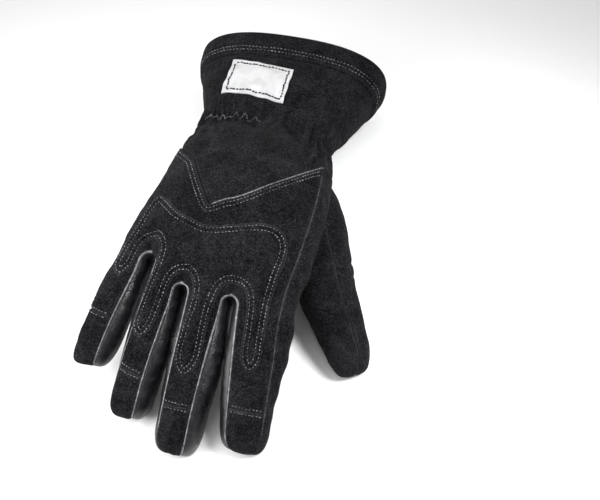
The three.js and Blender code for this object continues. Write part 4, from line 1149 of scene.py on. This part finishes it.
def sewn_line(trees, line, palm=False, close=False):
    """A line in the pattern as points and normals on the faces below it."""
    line = np.array(line, float)
    if close:
        line = np.concatenate([line, line[:1]])
    steps = lengths(line)
    p, q = at_lengths(np.linspace(0, steps[-1], max(int(steps[-1] / 0.8), 2)), steps, line).T
    spots, ways, met = cast(trees, p, q, palm)
    spots, ways = spots[met], ways[met]
    kernel = np.ones(5) / 5
    if len(ways) > 9:
        ways = np.stack([np.convolve(np.pad(ways[:, c], 2, "edge"), kernel, "valid") for c in range(3)], -1)
    return spots, ways


def split_runs(line, gap=4.0):
    """A line cut wherever two of its points lie further apart than a gap."""
    cuts = np.nonzero(np.linalg.norm(np.diff(line, axis=0), axis=1) > gap)[0] + 1
    return [run for run in np.split(line, cuts) if len(run) > 4]


def round_line(face, q, low, high):
    """A row of stitches round the cuff at q, between two angles."""
    angle = np.linspace(low, high, int(abs(high - low) * 1.2))
    p, n = section(angle, np.full(angle.shape, float(q)))
    spots, ways = [], []
    for point in (place(p, np.full(angle.shape, float(q)), n) / 1000).tolist():
        spot, normal, *_ = face.find_nearest(point)
        spots.append(spot)
        ways.append(normal)
    return np.array(spots) * 1000, np.array(ways)


guard_lines = [sewn_line([guard_face], guard_rows, close=True)]
for run in split_runs(moved(guard_rows, ROW_IN - ROW_OUT)):
    guard_lines.append(sewn_line([guard_face], run))
stitches("guard_stitches", guard_lines, grey_thread)

hem_lines = [round_line(hem_face, q, 0, 360) for q in HEM_STITCHES]
stitches("hem_stitches", hem_lines, grey_thread, pitch=2.6, long=2.0, thick=0.28)


# The suede's cut edge shows along the yoke's seam on its thumb side as a pale cord, its paleness partly
# the cut edge's own colour and partly a painted highlight, and a thin paler edge runs down the gusset's
# seam. The yoke has two rows of stitches, and a zigzag holds the elastic.
EDGE_RADIUS, JOIN_RADIUS = 0.5, 0.42
# Painted highlight: the yoke's cut edge is coloured far paler than the suede, partly its own cut colour and
# partly the light on it.
cut_edge_highlight_suede = finish_of(
    "suede cut edge with painted highlight", nap, (0.05, 0.05, 0.055), (0.34, 0.34, 0.36), 0.0006, Sheen_Weight=0.05,
)
# A suede edge paler than the panels, run along the gusset's seam.
pale_suede_edge = finish_of(
    "pale suede edge", nap, (0.006, 0.006, 0.007), (0.09, 0.09, 0.1), 0.0006, Sheen_Weight=0.03,
)


def yoke_line(distance, low=0.0, high=1.0):
    """The yoke's edge in the pattern, moved down the hand by a distance, and part of its length."""
    spans = [np.stack(strip(i, across, np.zeros(COLUMNS))[:2], -1) for i in range(4)]
    line = np.concatenate([*(span[:-1] for span in spans[:3]), spans[3]])
    ahead = np.gradient(line, axis=0)
    ahead /= np.linalg.norm(ahead, axis=1)[:, None]
    shifted = line + distance * np.stack([-ahead[:, 1], ahead[:, 0]], -1)
    keep = np.linspace(0, 1, len(line))
    return shifted[(keep >= low) & (keep <= high)]


edge_line, edge_way = sewn_line([back_face, cuff_face, gusset_face], yoke_line(0.35, 0.505, 1.0))
edge = cord_piece("yoke_edge", [tube(edge_line, edge_way, EDGE_RADIUS)], cut_edge_highlight_suede)
join_rows = np.concatenate([np.linspace(0.07, 1, 150), np.linspace(1.01, 1.86, 90)])
join_line = place(*seam(3, 1, join_rows, False))
join_way = np.tile([0.42, 0.0, 0.91], (len(join_line), 1))
join_tube = tube(join_line + WELT_LIFT * join_way, join_way, JOIN_RADIUS)
join = cord_piece("gusset_seam_edge", [join_tube], pale_suede_edge)
yoke_lines = [sewn_line([back_face], yoke_line(away, 0.1, 0.97)) for away in (2.4, 4.7)]
stitches("yoke_stitches", yoke_lines, grey_thread)
ZIGZAG_POINTS, ZIGZAG_AT, ZIGZAG_HIGH, ZIGZAG_LEG = 60, 83.5, 2.7, 3.6
zigzag_angle = np.linspace(151, 91, ZIGZAG_POINTS)
legs = (np.arange(ZIGZAG_POINTS) / ZIGZAG_LEG) % 2
zigzag_q = ZIGZAG_AT + ZIGZAG_HIGH * (2 * np.abs(legs - 1) - 1)
zigzag_p = section(zigzag_angle, zigzag_q)[0]
zigzag_lines = [sewn_line([cuff_face, hem_face], np.stack([zigzag_p, zigzag_q], -1))]
stitches("gather_stitches", zigzag_lines, grey_thread, pitch=1.75, long=1.75, thick=0.32)


# Two rows of grey stitches hold each fingertip's seam, one row the palm's patch, and one row of thick
# dark thread the label.
tip_lines = []
for i in range(4):
    for row in (CAP_ROWS[i] - 0.018, CAP_ROWS[i] + 0.02):
        line = np.stack(strip(i, np.linspace(-0.78, 0.78, 25), np.full(25, row))[:2], -1)
        tip_lines.append(sewn_line([back_face, tip_faces[i]], line))
stitches("fingertip_stitches", tip_lines, grey_thread, pitch=2.1, long=1.6, thick=0.24)
patch_runs = split_runs(moved(patch_edge, ROW_OUT))
patch_lines = [sewn_line([patch_face], run, palm=True) for run in patch_runs]
stitches("patch_stitches", patch_lines, grey_thread)
label_lines = [sewn_line([label_face], label_loop(LABEL_ROW, 0.8), close=True)]
stitches("label_stitches", label_lines, dark_thread, pitch=2.4, long=2.9, thick=0.62)


# The studio: a plain pale floor that the glove lies on, a broad soft light above, softer ones at the
# sides, and a camera that looks down on the back of the hand from the fingertips' end.
def area_light(name, at, aim, size, power, spread=180):
    """A square soft light at a place, aimed at a point, whose light spreads over an angle."""
    data = bpy.data.lights.new(name, "AREA")
    data.shape, data.size, data.energy, data.spread = "SQUARE", size, power, np.radians(spread)
    made = bpy.data.objects.new(name, data)
    made.location = at
    made.rotation_euler = (Vector(aim) - Vector(at)).to_track_quat("-Z", "Y").to_euler()
    bpy.context.scene.collection.objects.link(made)


floor_mesh = bpy.data.meshes.new("floor")
floor_mesh.from_pydata([(-4, -4, 0), (4, -4, 0), (4, 4, 0), (-4, 4, 0)], [], [(0, 1, 2, 3)])
floor = bpy.data.objects.new("floor", floor_mesh)
bpy.context.scene.collection.objects.link(floor)
paper = bpy.data.materials.new("pale floor")
paper.use_nodes = True
tree = paper.node_tree
shade = tree.nodes["Principled BSDF"]
at = add(tree, "TexCoord").outputs["Object"]
pale = mixed(tree, noise(tree, at, 3.0), (0.9, 0.9, 0.9, 1), (0.93, 0.93, 0.93, 1))
tree.links.new(pale, shade.inputs["Base Color"])
shade.inputs["Roughness"].default_value = 0.9
floor_mesh.materials.append(paper)

world = bpy.data.worlds.new("studio")
world.use_nodes = True
world.node_tree.nodes["Background"].inputs[0].default_value = (1, 1, 1, 1)
world.node_tree.nodes["Background"].inputs[1].default_value = 0.42
bpy.context.scene.world = world
area_light("overhead", (-0.4, -0.05, 1.0), (0, 0, 0), 0.8, 3.4)
area_light("left back", (-1.0, 0.5, 0.45), (0, 0, 0.02), 0.7, 3)
area_light("left front", (-0.34, -0.24, 0.27), (-0.07, -0.06, 0.02), 0.34, 0.85, 85)
area_light("above right", (0.45, 0.05, 0.62), (0.09, -0.02, 0.02), 0.3, 0.6, 40)

camera_data = bpy.data.cameras.new("camera")
camera_data.lens, camera_data.sensor_width = 51.0, 36.0
camera = bpy.data.objects.new("camera", camera_data)
camera.location = (0.1006, -0.3145, 0.4769)
aim = Vector((0.0283, -0.0065, 0.0250)) - camera.location
camera.rotation_euler = aim.to_track_quat("-Z", "Y").to_euler()
bpy.context.scene.collection.objects.link(camera)
bpy.context.scene.camera = camera

bpy.context.scene.view_settings.view_transform = "Standard"
